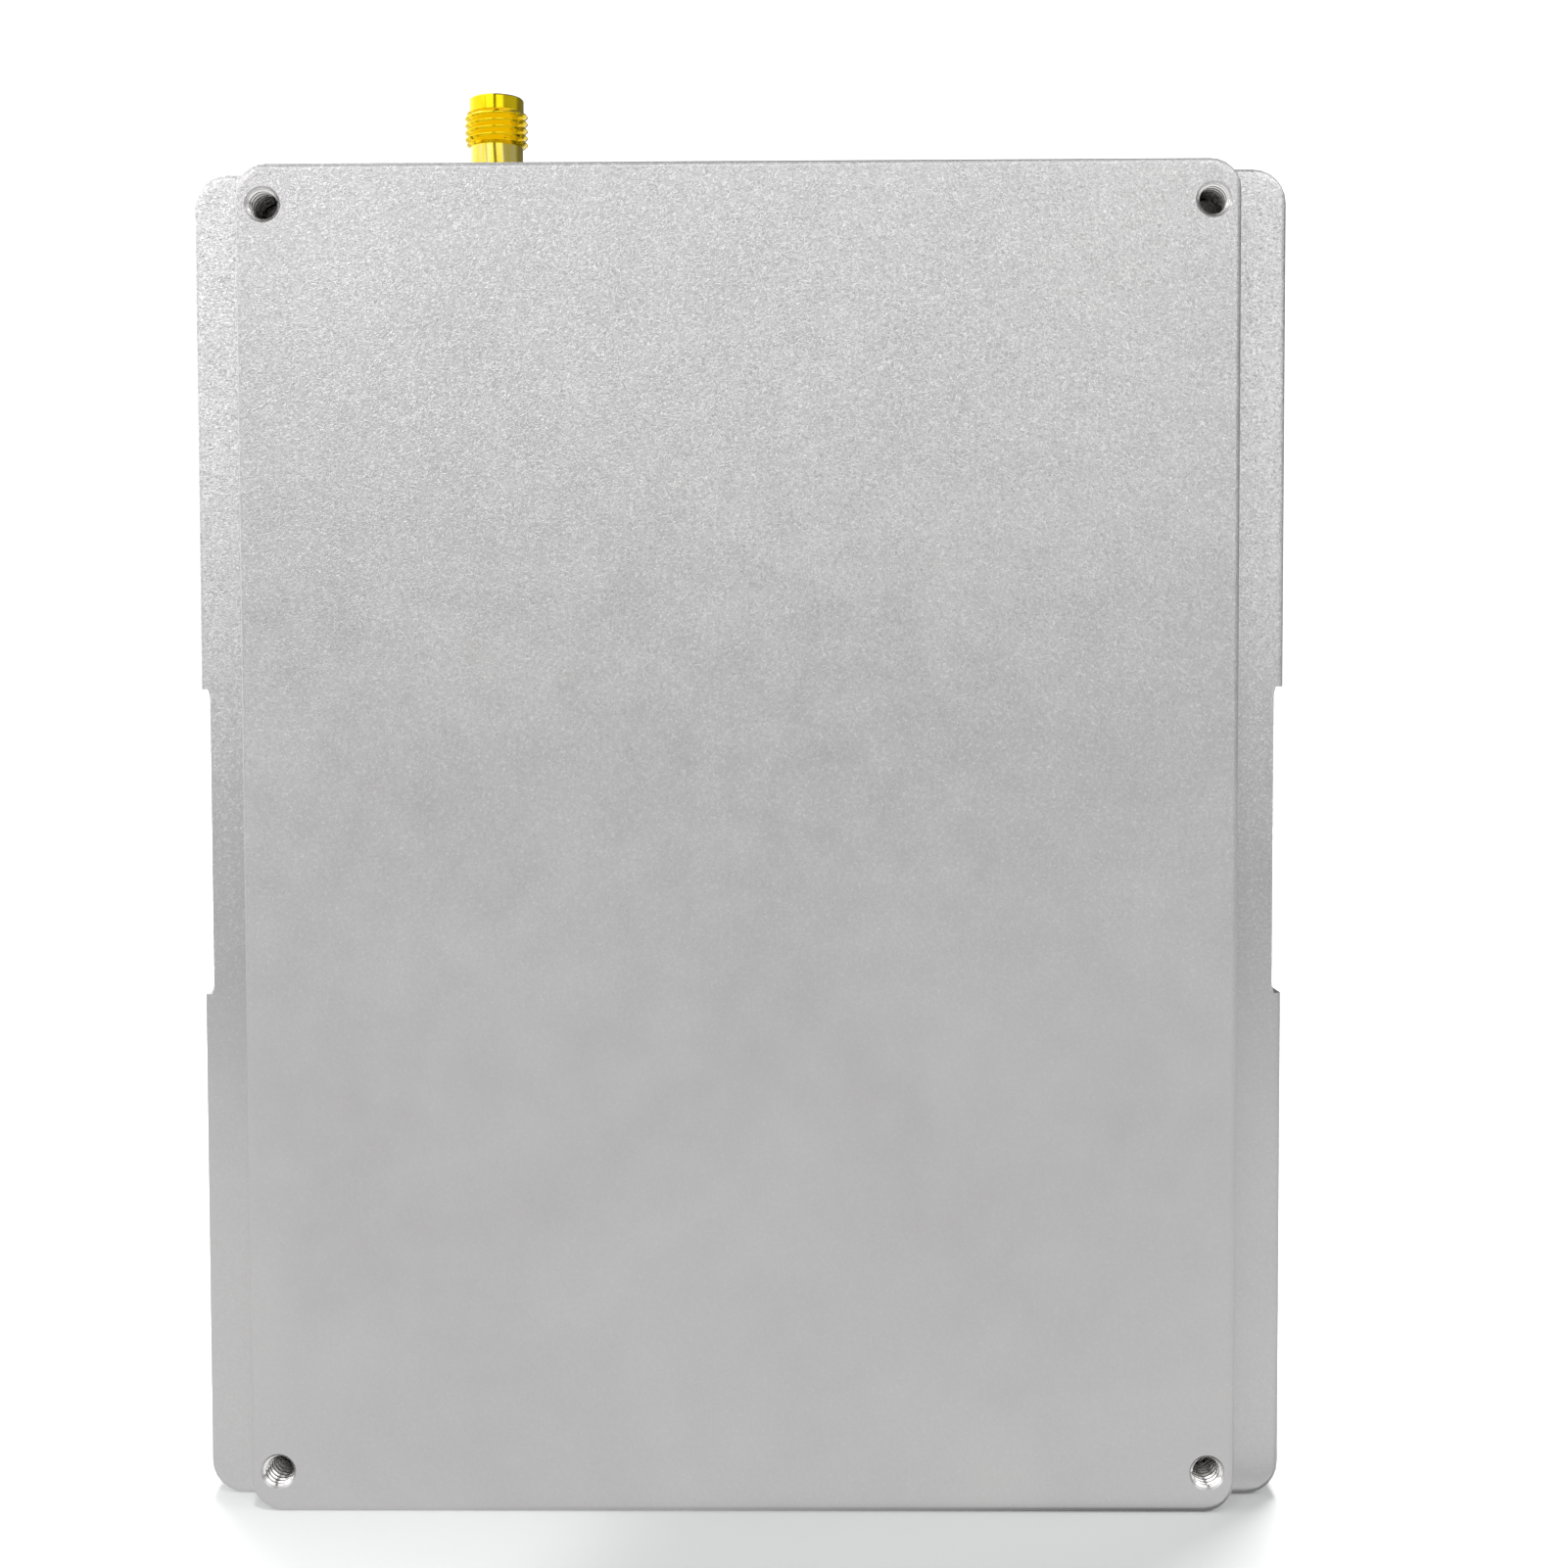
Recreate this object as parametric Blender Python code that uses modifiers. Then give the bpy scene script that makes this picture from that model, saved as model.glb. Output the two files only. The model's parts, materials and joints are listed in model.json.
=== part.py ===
"""Cellular signal booster: a flat aluminium housing with a plastic radome front.

Frame: +Z up, the housing stands on its bottom end face at Z = 0.  +Y points out of the metal back,
so the radome front looks along -Y.  X is centred.  All named sizes are millimetres; the helpers
turn them into metres.
"""

import math

import bmesh
import bpy
from mathutils import Vector

MM = 0.001
COLLECTION = "cellular_signal_booster"

# ---------------------------------------------------------------- driving dimensions (mm)
BODY_WIDTH = 107.6
BODY_HEIGHT = 132.0
BODY_DEPTH = 27.0
BODY_CORNER = 3.3
MID_HEIGHT = BODY_HEIGHT / 2

PLATFORM_WIDTH = 97.0
PLATFORM_STEP = 5.0
PLATFORM_CORNER = 3.0
EDGE_FILLET = 0.55

WALL = 2.5
FLOOR = 3.0
CAVITY_CORNER = 1.5

# depth levels, from the metal back (+Y) to the radome front (-Y)
BACK_Y = BODY_DEPTH / 2
SHOULDER_Y = BACK_Y - PLATFORM_STEP
FLOOR_Y = BACK_Y - FLOOR
LEDGE_Y = SHOULDER_Y - WALL
BOARD_BACK_Y = 3.2
BOARD_FRONT_Y = 1.6
RIM_Y = -7.5
COVER_RIM_Y = -8.2
COVER_INNER_Y = -11.2
FRONT_Y = -BODY_DEPTH / 2

GAP = 0.3
SLIM_GAP = 0.1

# how far a cutter reaches past the surface it opens, and a joined piece reaches into its host
OVERRUN = 1.0

# corner holes in the back for a stand or wall bracket: tapped 6-32, blind, bored to the minor diameter
BRACKET_HOLE_X = PLATFORM_WIDTH / 2 - 2.7
BRACKET_HOLE_INSET_Z = 4.0
BRACKET_HOLE_DEPTH = 8.0
BRACKET_TAP_RADIUS = 1.35
BRACKET_CHAMFER_RADIUS = 1.76
BRACKET_DRILL_POINT = 0.7
BRACKET_BOSS_RADIUS = 3.8
BRACKET_BOSS_INSET = 1.2
BRACKET_BOSS_FLOOR = 1.6

# long shallow notch in the middle of both side edges
NOTCH_LENGTH = 30.5
NOTCH_WALL = 0.75
NOTCH_DEPTH = 0.95
NOTCH_ROOT = 1.05

GASKET_INSET = 1.1
GASKET_WIDTH = 1.2

# cover screws, M3 socket heads in the front corners; head, shank and counterbore are (radius, length)
COVER_SCREW_X = 47.8
COVER_SCREW_INSET_Z = 6.0
COVER_SCREW_HEAD = (2.75, 2.9)
COVER_SCREW_SHANK = (1.15, 11.0)
COVER_SCREW_SOCKET = 1.45
COVER_COUNTERBORE = (3.0, 3.4)
COVER_HOLE_RADIUS = 1.75
COVER_TAP_RADIUS = 1.3
COVER_TAP_END_Y = 2.0
COVER_FRONT_RADIUS = 2.0
COVER_COLUMN_RADIUS = 4.0
COVER_COLUMN_Y = -4.8
COVER_LIP_Y = -5.4
COVER_LIP_WALL = 1.4
COVER_CORNER_BLOCK = 7.8

# circuit board and its M2.5 screws
BOARD_WIDTH = 101.0
BOARD_HEIGHT = 125.0
BOARD_CORNER_NOTCH = 10.7
BOARD_SCREW_X = 40.0
BOARD_SCREW_Z = (14.0, 118.0)
BOARD_SCREW_HEAD = (2.3, 1.5)
BOARD_SCREW_SHANK = (0.95, 6.0)
BOARD_SCREW_SOCKET = 0.8
BOARD_HOLE_RADIUS = 1.35
BOARD_STANDOFF_RADIUS = 3.0
BOARD_TAP_RADIUS = 1.1

# power amplifiers on the back of the board, each against a pedestal of the housing
AMPLIFIER_PLACES = {"uplink": (-24.0, 82.0), "downlink": (24.0, 82.0)}
AMPLIFIER_HALF = 6.0
AMPLIFIER_Y = (BOARD_BACK_Y + SLIM_GAP, BOARD_BACK_Y + 1.3)
THERMAL_PAD_HALF = 8.0
THERMAL_PAD_Y = (AMPLIFIER_Y[1] + SLIM_GAP, AMPLIFIER_Y[1] + 1.0)
PEDESTAL_HALF = 9.0
PEDESTAL_Y = THERMAL_PAD_Y[1] + SLIM_GAP

# shield cans, name: (centre x, centre z, width, height)
SHIELD_CANS = {
    "uplink_shield_can": (-24.0, 82.0, 34.0, 40.0),
    "downlink_shield_can": (24.0, 82.0, 34.0, 40.0),
    "power_shield_can": (-16.0, 40.0, 34.0, 24.0),
}
SHIELD_CAN_DEPTH = 3.2
SHIELD_CAN_SHEET = 0.3

# block-shaped components, name: (centre x, centre z, width, height, depth, finish)
BOARD_BLOCKS = {
    "outdoor_duplexer": (24.8, 112.0, 9.0, 8.0, 2.0, "ceramic"),
    "indoor_duplexer": (-4.0, 110.0, 9.0, 8.0, 2.0, "ceramic"),
    "gain_controller_chip": (20.0, 42.0, 10.0, 10.0, 1.2, "chip_epoxy"),
    "power_inductor": (12.0, 26.0, 7.0, 7.0, 3.0, "chip_epoxy"),
}
CAPACITOR_PLACE = (-16.5, 121.5)

# antenna connector, SMA: 1/4-36 thread
SMA_X = 24.8
PORT_Y = 1.0
SMA_TOP_Z = 141.0
SMA_THREAD_TOP_Z = 139.6
SMA_THREAD_LOW_Z = 136.1
SMA_THREAD_CHAMFER = 0.25
SMA_THREAD_DEPTH = 0.33
SMA_PITCH = 25.4 / 36
SMA_SEGMENTS = 40
SMA_MAJOR_RADIUS = 3.175
SMA_RIM_RADIUS = 2.75
SMA_NECK_RADIUS = 2.65
SMA_MOUTH_RADIUS = 2.3
SMA_MOUTH_DEPTH = 1.9
SMA_BORE_RADIUS = 2.05
SMA_OPENING_RADIUS = 2.3
SMA_TAP_RADIUS = 1.1
SMA_FLANGE_Z = (132.1, 133.7)
SMA_FLANGE_SIZE = (15.6, 5.8)
SMA_SCREW_OFFSET = 5.6
CONTACT_TAIL_Z = 124.0

# power socket (5.5 mm barrel) in the top end face
JACK_X = -30.0
JACK_SIZE = 9.0
JACK_LOW_Z = 117.9
JACK_BACK = 0.6
JACK_NOSE_RADIUS = 3.9
JACK_OPENING_RADIUS = 4.2
JACK_BARREL_RADIUS = 2.85
JACK_BARREL_DEPTH = 10.0
JACK_PIN_RADIUS = 1.0
JACK_PIN_BORE_RADIUS = 1.2

# power switch beside it; its slider moves along X
SWITCH_X = -6.0
SWITCH_Y = -1.2
SWITCH_TRAVEL = 2.4
SWITCH_SIZE = (12.0, 5.0)
SWITCH_BODY_Z = (123.4, 128.9)
SWITCH_TRACK_Z = 126.6
SWITCH_SHEET = 0.4
SLIDER_HALF = (3.0, 1.2)
SLIDER_Z = (126.8, 128.7)
KNOB_HALF = (1.7, 0.9)
KNOB_LOW_Z = 127.5
KNOB_TOP_Z = BODY_HEIGHT + 1.1
KNOB_GROOVE_DEPTH = 0.3
KNOB_GROOVE_PITCH = 0.9

# built-in antenna: ground plate, then the patch in front of it
GROUND_LOW = (-46.0, 20.0)
GROUND_HIGH = (46.0, 116.0)
GROUND_Y = (-4.2, -3.4)
PATCH_SIZE = 72.0
PATCH_Z = 68.0
PATCH_Y = (-8.9, -8.3)
STANDOFF_PLACES = [(side * 38.0, z) for side in (-1, 1) for z in (30.0, 106.0)]
SPACER_PLACES = [(side * 30.0, PATCH_Z + end * 30.0) for side in (-1, 1) for end in (-1, 1)]
POST_RADIUS = 2.6
PEG_RADIUS = 1.2
PEG_HOLE_RADIUS = 1.5
PEG_SHORTFALL = 0.1

# thin coaxial lead from the board, over the ground plate's top edge, to the patch feed
COAX_RADIUS = 0.65
COAX_SOCKET_PLACE = (4.4, 121.0)
COAX_END = (12.0, -5.3, 88.0)
COAX_ROUTE = [
    (6.8, -1.5, 121.0),
    (10.0, -1.7, 121.5),
    (12.5, -3.0, 120.6),
    (13.4, -5.0, 118.6),
    (13.5, -5.3, 116.0),
    (13.0, -5.3, 108.0),
    COAX_END,
]
FEED_PIN_RADIUS = 0.6
FEED_PIN_OFFSET = 1.4

# status lights behind the cover's lower edge; lengths run along Y
INDICATOR_X = (-12.0, -4.0, 4.0, 12.0)
INDICATOR_Z = 12.0
INDICATOR_HOLE_RADIUS = 1.75
LED_HALF = (1.75, 1.4)
LED_DEPTH = 1.7
PIPE_RADIUS = 1.5
PIPE_COLLAR_RADIUS = 2.2
PIPE_COLLAR_DEPTH = 1.0
PIPE_LED_GAP = 0.4

UP = Vector((0, 0, 1))
TO_BACK = Vector((0, 1, 0))
TO_FRONT = Vector((0, -1, 0))

# name: (colour, roughness, metallic)
FINISHES = {
    "blasted_aluminium": ((0.66, 0.66, 0.65), 0.42, 1.0),
    "radome_plastic": ((0.80, 0.80, 0.78), 0.50, 0.0),
    "gasket_rubber": ((0.03, 0.03, 0.03), 0.80, 0.0),
    "black_screw_steel": ((0.06, 0.06, 0.065), 0.40, 1.0),
    "zinc_screw_steel": ((0.62, 0.62, 0.60), 0.35, 1.0),
    "gold_plate": ((0.90, 0.68, 0.16), 0.22, 1.0),
    "ptfe": ((0.92, 0.91, 0.88), 0.45, 0.0),
    "black_plastic": ((0.02, 0.02, 0.02), 0.45, 0.0),
    "nickel_plate": ((0.72, 0.70, 0.66), 0.25, 1.0),
    "solder_mask": ((0.02, 0.17, 0.07), 0.35, 0.0),
    "tinned_steel": ((0.70, 0.70, 0.70), 0.35, 1.0),
    "sheet_aluminium": ((0.75, 0.75, 0.76), 0.40, 1.0),
    "sheet_brass": ((0.78, 0.60, 0.28), 0.35, 1.0),
    "ceramic": ((0.75, 0.72, 0.66), 0.50, 0.0),
    "chip_epoxy": ((0.03, 0.03, 0.035), 0.55, 0.0),
    "thermal_pad": ((0.35, 0.45, 0.60), 0.85, 0.0),
    "clear_acrylic": ((0.85, 0.90, 0.88), 0.10, 0.0),
    "led_package": ((0.90, 0.88, 0.70), 0.40, 0.0),
    "cable_jacket": ((0.05, 0.05, 0.05), 0.50, 0.0),
}


# ---------------------------------------------------------------- scene and material helpers
def clear_scene():
    for obj in list(bpy.data.objects):
        bpy.data.objects.remove(obj, do_unlink=True)


def new_collection(name):
    collection = bpy.data.collections.new(name)
    bpy.context.scene.collection.children.link(collection)
    return collection


def move_to(obj, collection):
    for old in list(obj.users_collection):
        old.objects.unlink(obj)
    collection.objects.link(obj)


def material(name):
    found = bpy.data.materials.get(name)
    if found:
        return found
    colour, roughness, metallic = FINISHES[name]
    made = bpy.data.materials.new(name)
    made.use_nodes = True
    made.diffuse_color = (*colour, 1.0)
    shader = made.node_tree.nodes["Principled BSDF"]
    shader.inputs["Base Color"].default_value = (*colour, 1.0)
    shader.inputs["Roughness"].default_value = roughness
    shader.inputs["Metallic"].default_value = metallic
    return made


def finish_part(obj, finish, smooth_angle=35.0):
    """Put a finished sub-part in the object's collection with its own material."""
    obj.data.materials.clear()
    obj.data.materials.append(material(finish))
    obj.data.shade_smooth()
    obj.data.set_sharp_from_angle(angle=math.radians(smooth_angle))
    move_to(obj, bpy.data.collections[COLLECTION])
    return obj


# ---------------------------------------------------------------- shape helpers
def at(x, y, z):
    return Vector((x, y, z)) * MM


def both_ends(inset):
    """The two heights that lie this far in from the body's bottom and top ends."""
    return (inset, BODY_HEIGHT - inset)


def box(name, low, high):
    low = at(*low)
    high = at(*high)
    bpy.ops.mesh.primitive_cube_add(size=1.0, location=(low + high) / 2)
    obj = bpy.context.active_object
    obj.name = name
    obj.scale = high - low
    bpy.ops.object.transform_apply(location=False, rotation=False, scale=True)
    return obj


def cylinder(name, radius, start, end, segments=24):
    start = at(*start)
    end = at(*end)
    along = end - start
    bpy.ops.mesh.primitive_cylinder_add(
        vertices=segments, radius=radius * MM, depth=along.length, location=(start + end) / 2
    )
    obj = bpy.context.active_object
    obj.name = name
    obj.rotation_mode = "QUATERNION"
    obj.rotation_quaternion = along.to_track_quat("Z", "Y")
    return obj


def freeze(obj, merge_flat=False):
    """Replace a curve or a modified mesh by the plain mesh it evaluates to."""
    name = obj.name
    bpy.context.view_layer.update()
    evaluated = obj.evaluated_get(bpy.context.evaluated_depsgraph_get())
    mesh = bpy.data.meshes.new_from_object(evaluated)
    edit = bmesh.new()
    edit.from_mesh(mesh)
    bmesh.ops.remove_doubles(edit, verts=edit.verts, dist=0.001 * MM)
    if merge_flat:
        bmesh.ops.dissolve_limit(edit, angle_limit=math.radians(1), verts=edit.verts, edges=edit.edges)
    bmesh.ops.recalc_face_normals(edit, faces=edit.faces)
    edit.to_mesh(mesh)
    edit.free()
    place = obj.matrix_world.copy()
    bpy.data.objects.remove(obj, do_unlink=True)
    frozen = bpy.data.objects.new(name, mesh)
    frozen.matrix_world = place
    bpy.context.scene.collection.objects.link(frozen)
    return frozen


def plate(name, outlines, low, high, normal="Y"):
    """A flat plate between two levels; outlines after the first are holes.

    Outlines are (x, z) points for a plate facing Y, and (x, y) points for one facing Z.
    """
    curve = bpy.data.curves.new(name, "CURVE")
    curve.dimensions = "2D"
    curve.fill_mode = "BOTH"
    curve.extrude = (high - low) / 2 * MM
    for outline in outlines:
        spline = curve.splines.new("POLY")
        spline.points.add(len(outline) - 1)
        for control, (u, v) in zip(spline.points, outline):
            control.co = (round(u, 6) * MM, round(v, 6) * MM, 0.0, 1.0)
        spline.use_cyclic_u = True
    obj = bpy.data.objects.new(name, curve)
    bpy.context.scene.collection.objects.link(obj)
    flat = freeze(obj, merge_flat=len(outlines) == 1)
    middle = (low + high) / 2 * MM
    for vertex in flat.data.vertices:
        u, v, w = vertex.co
        vertex.co = (u, middle - w, v) if normal == "Y" else (u, v, middle + w)
    return flat


def wire(name, route, radius, resolution=2):
    """A round wire with capped ends along a route in millimetres; at resolution 0 it is square."""
    curve = bpy.data.curves.new(name, "CURVE")
    curve.dimensions = "3D"
    curve.twist_mode = "Z_UP"
    curve.bevel_depth = radius * MM
    curve.bevel_resolution = resolution
    curve.use_fill_caps = True
    spline = curve.splines.new("POLY")
    spline.points.add(len(route) - 1)
    for control, spot in zip(spline.points, route):
        control.co = (*at(*spot), 1.0)
    obj = bpy.data.objects.new(name, curve)
    bpy.context.scene.collection.objects.link(obj)
    return freeze(obj)


def turned(name, profile, origin, direction, segments=32):
    """A turned solid: (radius, height) points down its outer side, ending on the axis."""
    mesh = bpy.data.meshes.new(name)
    points = [(radius * MM, 0.0, height * MM) for radius, height in profile]
    edges = [(i, i + 1) for i in range(len(points) - 1)]
    mesh.from_pydata(points, edges, [])
    obj = bpy.data.objects.new(name, mesh)
    bpy.context.scene.collection.objects.link(obj)
    obj.location = at(*origin)
    obj.rotation_mode = "QUATERNION"
    obj.rotation_quaternion = direction.to_track_quat("Z", "Y")
    screw = obj.modifiers.new("turn", "SCREW")
    screw.steps = segments
    screw.render_steps = segments
    screw.use_merge_vertices = True
    screw.merge_threshold = 0.00001
    return freeze(obj)


def arc(centre, radius, start_deg, end_deg, steps):
    points = []
    for i in range(steps + 1):
        angle = math.radians(start_deg + (end_deg - start_deg) * i / steps)
        points.append((centre[0] + radius * math.cos(angle), centre[1] + radius * math.sin(angle)))
    return points


def circle(u, v, radius, segments=24):
    return arc((u, v), radius, 0, 360, segments)[:-1]


def rounded_rect(width, height, radius, centre=(0.0, MID_HEIGHT), steps=6):
    half_u = width / 2 - radius
    half_v = height / 2 - radius
    points = []
    for quarter, (su, sv) in enumerate(((1, 1), (-1, 1), (-1, -1), (1, -1))):
        corner = (centre[0] + su * half_u, centre[1] + sv * half_v)
        points += arc(corner, radius, 90 * quarter, 90 * quarter + 90, steps)
    return points


def bevel(obj, width, segments=2):
    modifier = obj.modifiers.new("edges", "BEVEL")
    modifier.width = width * MM
    modifier.segments = segments
    modifier.limit_method = "ANGLE"
    modifier.angle_limit = math.radians(40)
    return obj


def combine(target, tool, operation):
    modifier = target.modifiers.new(tool.name, "BOOLEAN")
    modifier.operation = operation
    modifier.solver = "EXACT"
    modifier.object = tool
    tool.hide_render = True
    tool.display_type = "WIRE"
    move_to(tool, bpy.data.collections["cutters"])


def join(target, tool):
    combine(target, tool, "UNION")


def cut(target, tool):
    combine(target, tool, "DIFFERENCE")


# ---------------------------------------------------------------- rear housing
def housing_blank():
    """Outer form: a wide shallow box with a narrower raised platform on its back."""
    body = plate("rear_housing", [rounded_rect(BODY_WIDTH, BODY_HEIGHT, BODY_CORNER)], RIM_Y, SHOULDER_Y)
    bevel(body, EDGE_FILLET, 3)
    platform_outline = rounded_rect(PLATFORM_WIDTH, BODY_HEIGHT, PLATFORM_CORNER)
    platform = plate("platform_form", [platform_outline], SHOULDER_Y - PLATFORM_STEP, BACK_Y)
    join(body, bevel(platform, EDGE_FILLET, 3))
    return freeze(body, merge_flat=True)


def hollow_housing(body):
    width = BODY_WIDTH - 2 * WALL
    height = BODY_HEIGHT - 2 * WALL
    main = rounded_rect(width, height, CAVITY_CORNER, steps=3)
    cut(body, plate("main_cavity", [main], RIM_Y - OVERRUN, LEDGE_Y))
    narrow = PLATFORM_WIDTH - 2 * WALL
    upper = rounded_rect(narrow, height - 2 * GAP, CAVITY_CORNER, steps=3)
    cut(body, plate("platform_cavity", [upper], LEDGE_Y - OVERRUN, FLOOR_Y))


def add_bracket_holes(body):
    boss_x = BRACKET_HOLE_X - BRACKET_BOSS_INSET
    boss_end = BACK_Y - BRACKET_HOLE_DEPTH - BRACKET_BOSS_FLOOR
    for side in (-1, 1):
        for z in both_ends(BRACKET_HOLE_INSET_Z + BRACKET_BOSS_INSET):
            start = (side * boss_x, boss_end, z)
            end = (side * boss_x, FLOOR_Y + OVERRUN, z)
            join(body, cylinder("bracket_boss", BRACKET_BOSS_RADIUS, start, end))
    for side in (-1, 1):
        for z in both_ends(BRACKET_HOLE_INSET_Z):
            cut(body, bracket_hole_cutter(side * BRACKET_HOLE_X, z))


def bracket_hole_cutter(x, z):
    """Blind tapped hole with a 45 degree chamfer at the mouth and a drill point below."""
    chamfer = BRACKET_CHAMFER_RADIUS - BRACKET_TAP_RADIUS
    profile = [
        (0, OVERRUN),
        (BRACKET_CHAMFER_RADIUS + OVERRUN, OVERRUN),
        (BRACKET_TAP_RADIUS, -chamfer),
        (BRACKET_TAP_RADIUS, BRACKET_DRILL_POINT - BRACKET_HOLE_DEPTH),
        (0, -BRACKET_HOLE_DEPTH),
    ]
    return turned("bracket_hole", profile, (x, BACK_Y, z), TO_BACK)


def add_cover_columns(body):
    for side in (-1, 1):
        for z in both_ends(COVER_SCREW_INSET_Z):
            x = side * COVER_SCREW_X
            start = (x, COVER_COLUMN_Y, z)
            join(body, cylinder("cover_column", COVER_COLUMN_RADIUS, start, (x, LEDGE_Y + OVERRUN, z)))
            start = (x, COVER_COLUMN_Y - OVERRUN, z)
            cut(body, cylinder("cover_screw_tap", COVER_TAP_RADIUS, start, (x, COVER_TAP_END_Y, z), 20))


def add_board_standoffs(body):
    for side in (-1, 1):
        for z in BOARD_SCREW_Z:
            x = side * BOARD_SCREW_X
            foot = BOARD_BACK_Y + GAP
            end = (x, FLOOR_Y + OVERRUN, z)
            join(body, cylinder("board_standoff", BOARD_STANDOFF_RADIUS, (x, foot, z), end, 20))
            start = (x, foot - OVERRUN, z)
            end = (x, FLOOR_Y - 1.0, z)
            cut(body, cylinder("board_screw_tap", BOARD_TAP_RADIUS, start, end, 16))


def add_heat_pedestals(body):
    for x, z in AMPLIFIER_PLACES.values():
        low = (x - PEDESTAL_HALF, PEDESTAL_Y, z - PEDESTAL_HALF)
        high = (x + PEDESTAL_HALF, FLOOR_Y + OVERRUN, z + PEDESTAL_HALF)
        join(body, box("heat_pedestal", low, high))


def notch_outline(side):
    """Side notch: square end walls that run into a shallow concave root."""
    edge = BODY_WIDTH / 2
    half = NOTCH_LENGTH / 2
    sag = NOTCH_DEPTH - NOTCH_WALL
    points = [(edge + OVERRUN, MID_HEIGHT - half)]
    steps = 3
    for end in (-1, 1):
        root = []
        for i in range(steps + 1):
            run = i / steps
            depth = NOTCH_WALL + sag * math.sin(run * math.pi / 2)
            root.append((edge - depth, MID_HEIGHT + end * (half - NOTCH_ROOT * run)))
        points += root if end < 0 else root[::-1]
    points.append((edge + OVERRUN, MID_HEIGHT + half))
    return [(side * x, z) for x, z in points]


def cut_side_notches(body):
    for side in (-1, 1):
        outlines = [notch_outline(side)]
        cut(body, plate("side_notch", outlines, RIM_Y - OVERRUN, SHOULDER_Y + OVERRUN))


def cut_port_openings(body):
    openings = [
        ("sma_opening", SMA_X, SMA_OPENING_RADIUS, 32),
        ("jack_opening", JACK_X, JACK_OPENING_RADIUS, 40),
    ]
    for side in (-1, 1):
        openings.append(("sma_screw_tap", SMA_X + side * SMA_SCREW_OFFSET, SMA_TAP_RADIUS, 20))
    inside = BODY_HEIGHT - WALL - OVERRUN
    outside = BODY_HEIGHT + OVERRUN
    for name, x, radius, segments in openings:
        cut(body, cylinder(name, radius, (x, PORT_Y, inside), (x, PORT_Y, outside), segments))
    half_x = KNOB_HALF[0] + SWITCH_TRAVEL / 2 + GAP
    half_y = KNOB_HALF[1] + GAP + SLIM_GAP
    low = (SWITCH_X - half_x, SWITCH_Y - half_y, inside)
    high = (SWITCH_X + half_x, SWITCH_Y + half_y, outside)
    cut(body, box("switch_opening", low, high))


def rear_housing():
    body = housing_blank()
    hollow_housing(body)
    add_bracket_holes(body)
    add_cover_columns(body)
    add_board_standoffs(body)
    add_heat_pedestals(body)
    cut_side_notches(body)
    cut_port_openings(body)
    return finish_part(freeze(body), "blasted_aluminium", 30)


# ---------------------------------------------------------------- front cover, gasket, cover screws
def front_cover():
    outline = rounded_rect(BODY_WIDTH, BODY_HEIGHT, BODY_CORNER)
    cover = plate("front_cover", [outline], FRONT_Y, COVER_RIM_Y)
    round_front_edge(cover, COVER_FRONT_RADIUS)
    lip_width = BODY_WIDTH - 2 * (WALL + GAP)
    lip_height = BODY_HEIGHT - 2 * (WALL + GAP)
    lip = [rounded_rect(lip_width, lip_height, CAVITY_CORNER, steps=3)]
    join(cover, plate("cover_lip", lip, COVER_RIM_Y - OVERRUN, COVER_LIP_Y))
    half_u = lip_width / 2 - COVER_LIP_WALL
    half_v = lip_height / 2 - COVER_LIP_WALL
    for trim_u, trim_v in ((0, COVER_CORNER_BLOCK), (COVER_CORNER_BLOCK, 0)):
        low = (trim_u - half_u, COVER_INNER_Y, MID_HEIGHT + trim_v - half_v)
        high = (half_u - trim_u, COVER_LIP_Y + OVERRUN, MID_HEIGHT + half_v - trim_v)
        cut(cover, box("cover_cavity", low, high))
    counterbore_radius, counterbore_depth = COVER_COUNTERBORE
    for side in (-1, 1):
        for z in both_ends(COVER_SCREW_INSET_Z):
            x = side * COVER_SCREW_X
            start = (x, FRONT_Y - OVERRUN, z)
            end = (x, COVER_LIP_Y + OVERRUN, z)
            cut(cover, cylinder("cover_screw_hole", COVER_HOLE_RADIUS, start, end))
            end = (x, FRONT_Y + counterbore_depth, z)
            cut(cover, cylinder("cover_counterbore", counterbore_radius, start, end, 32))
    for x in INDICATOR_X:
        start = (x, FRONT_Y - OVERRUN, INDICATOR_Z)
        end = (x, COVER_INNER_Y + OVERRUN, INDICATOR_Z)
        cut(cover, cylinder("indicator_hole", INDICATOR_HOLE_RADIUS, start, end))
    return finish_part(freeze(cover), "radome_plastic", 30)


def round_front_edge(cover, radius):
    """Bevel only the outline of the front face."""
    edit = bmesh.new()
    edit.from_mesh(cover.data)
    front = FRONT_Y * MM
    near = 0.01 * MM
    rim = [edge for edge in edit.edges if all(abs(vert.co.y - front) < near for vert in edge.verts)]
    bmesh.ops.bevel(edit, geom=rim, offset=radius * MM, segments=4, profile=0.5, affect="EDGES")
    edit.to_mesh(cover.data)
    edit.free()


def cover_gasket():
    """Flat sealing ring between the rims, set in further than the side notches are deep."""
    outlines = []
    for inset in (GASKET_INSET, GASKET_INSET + GASKET_WIDTH):
        radius = max(BODY_CORNER - inset, CAVITY_CORNER)
        outlines.append(rounded_rect(BODY_WIDTH - 2 * inset, BODY_HEIGHT - 2 * inset, radius, steps=4))
    ring = plate("cover_gasket", outlines, COVER_RIM_Y + SLIM_GAP, RIM_Y - SLIM_GAP)
    return finish_part(ring, "gasket_rubber")


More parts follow.
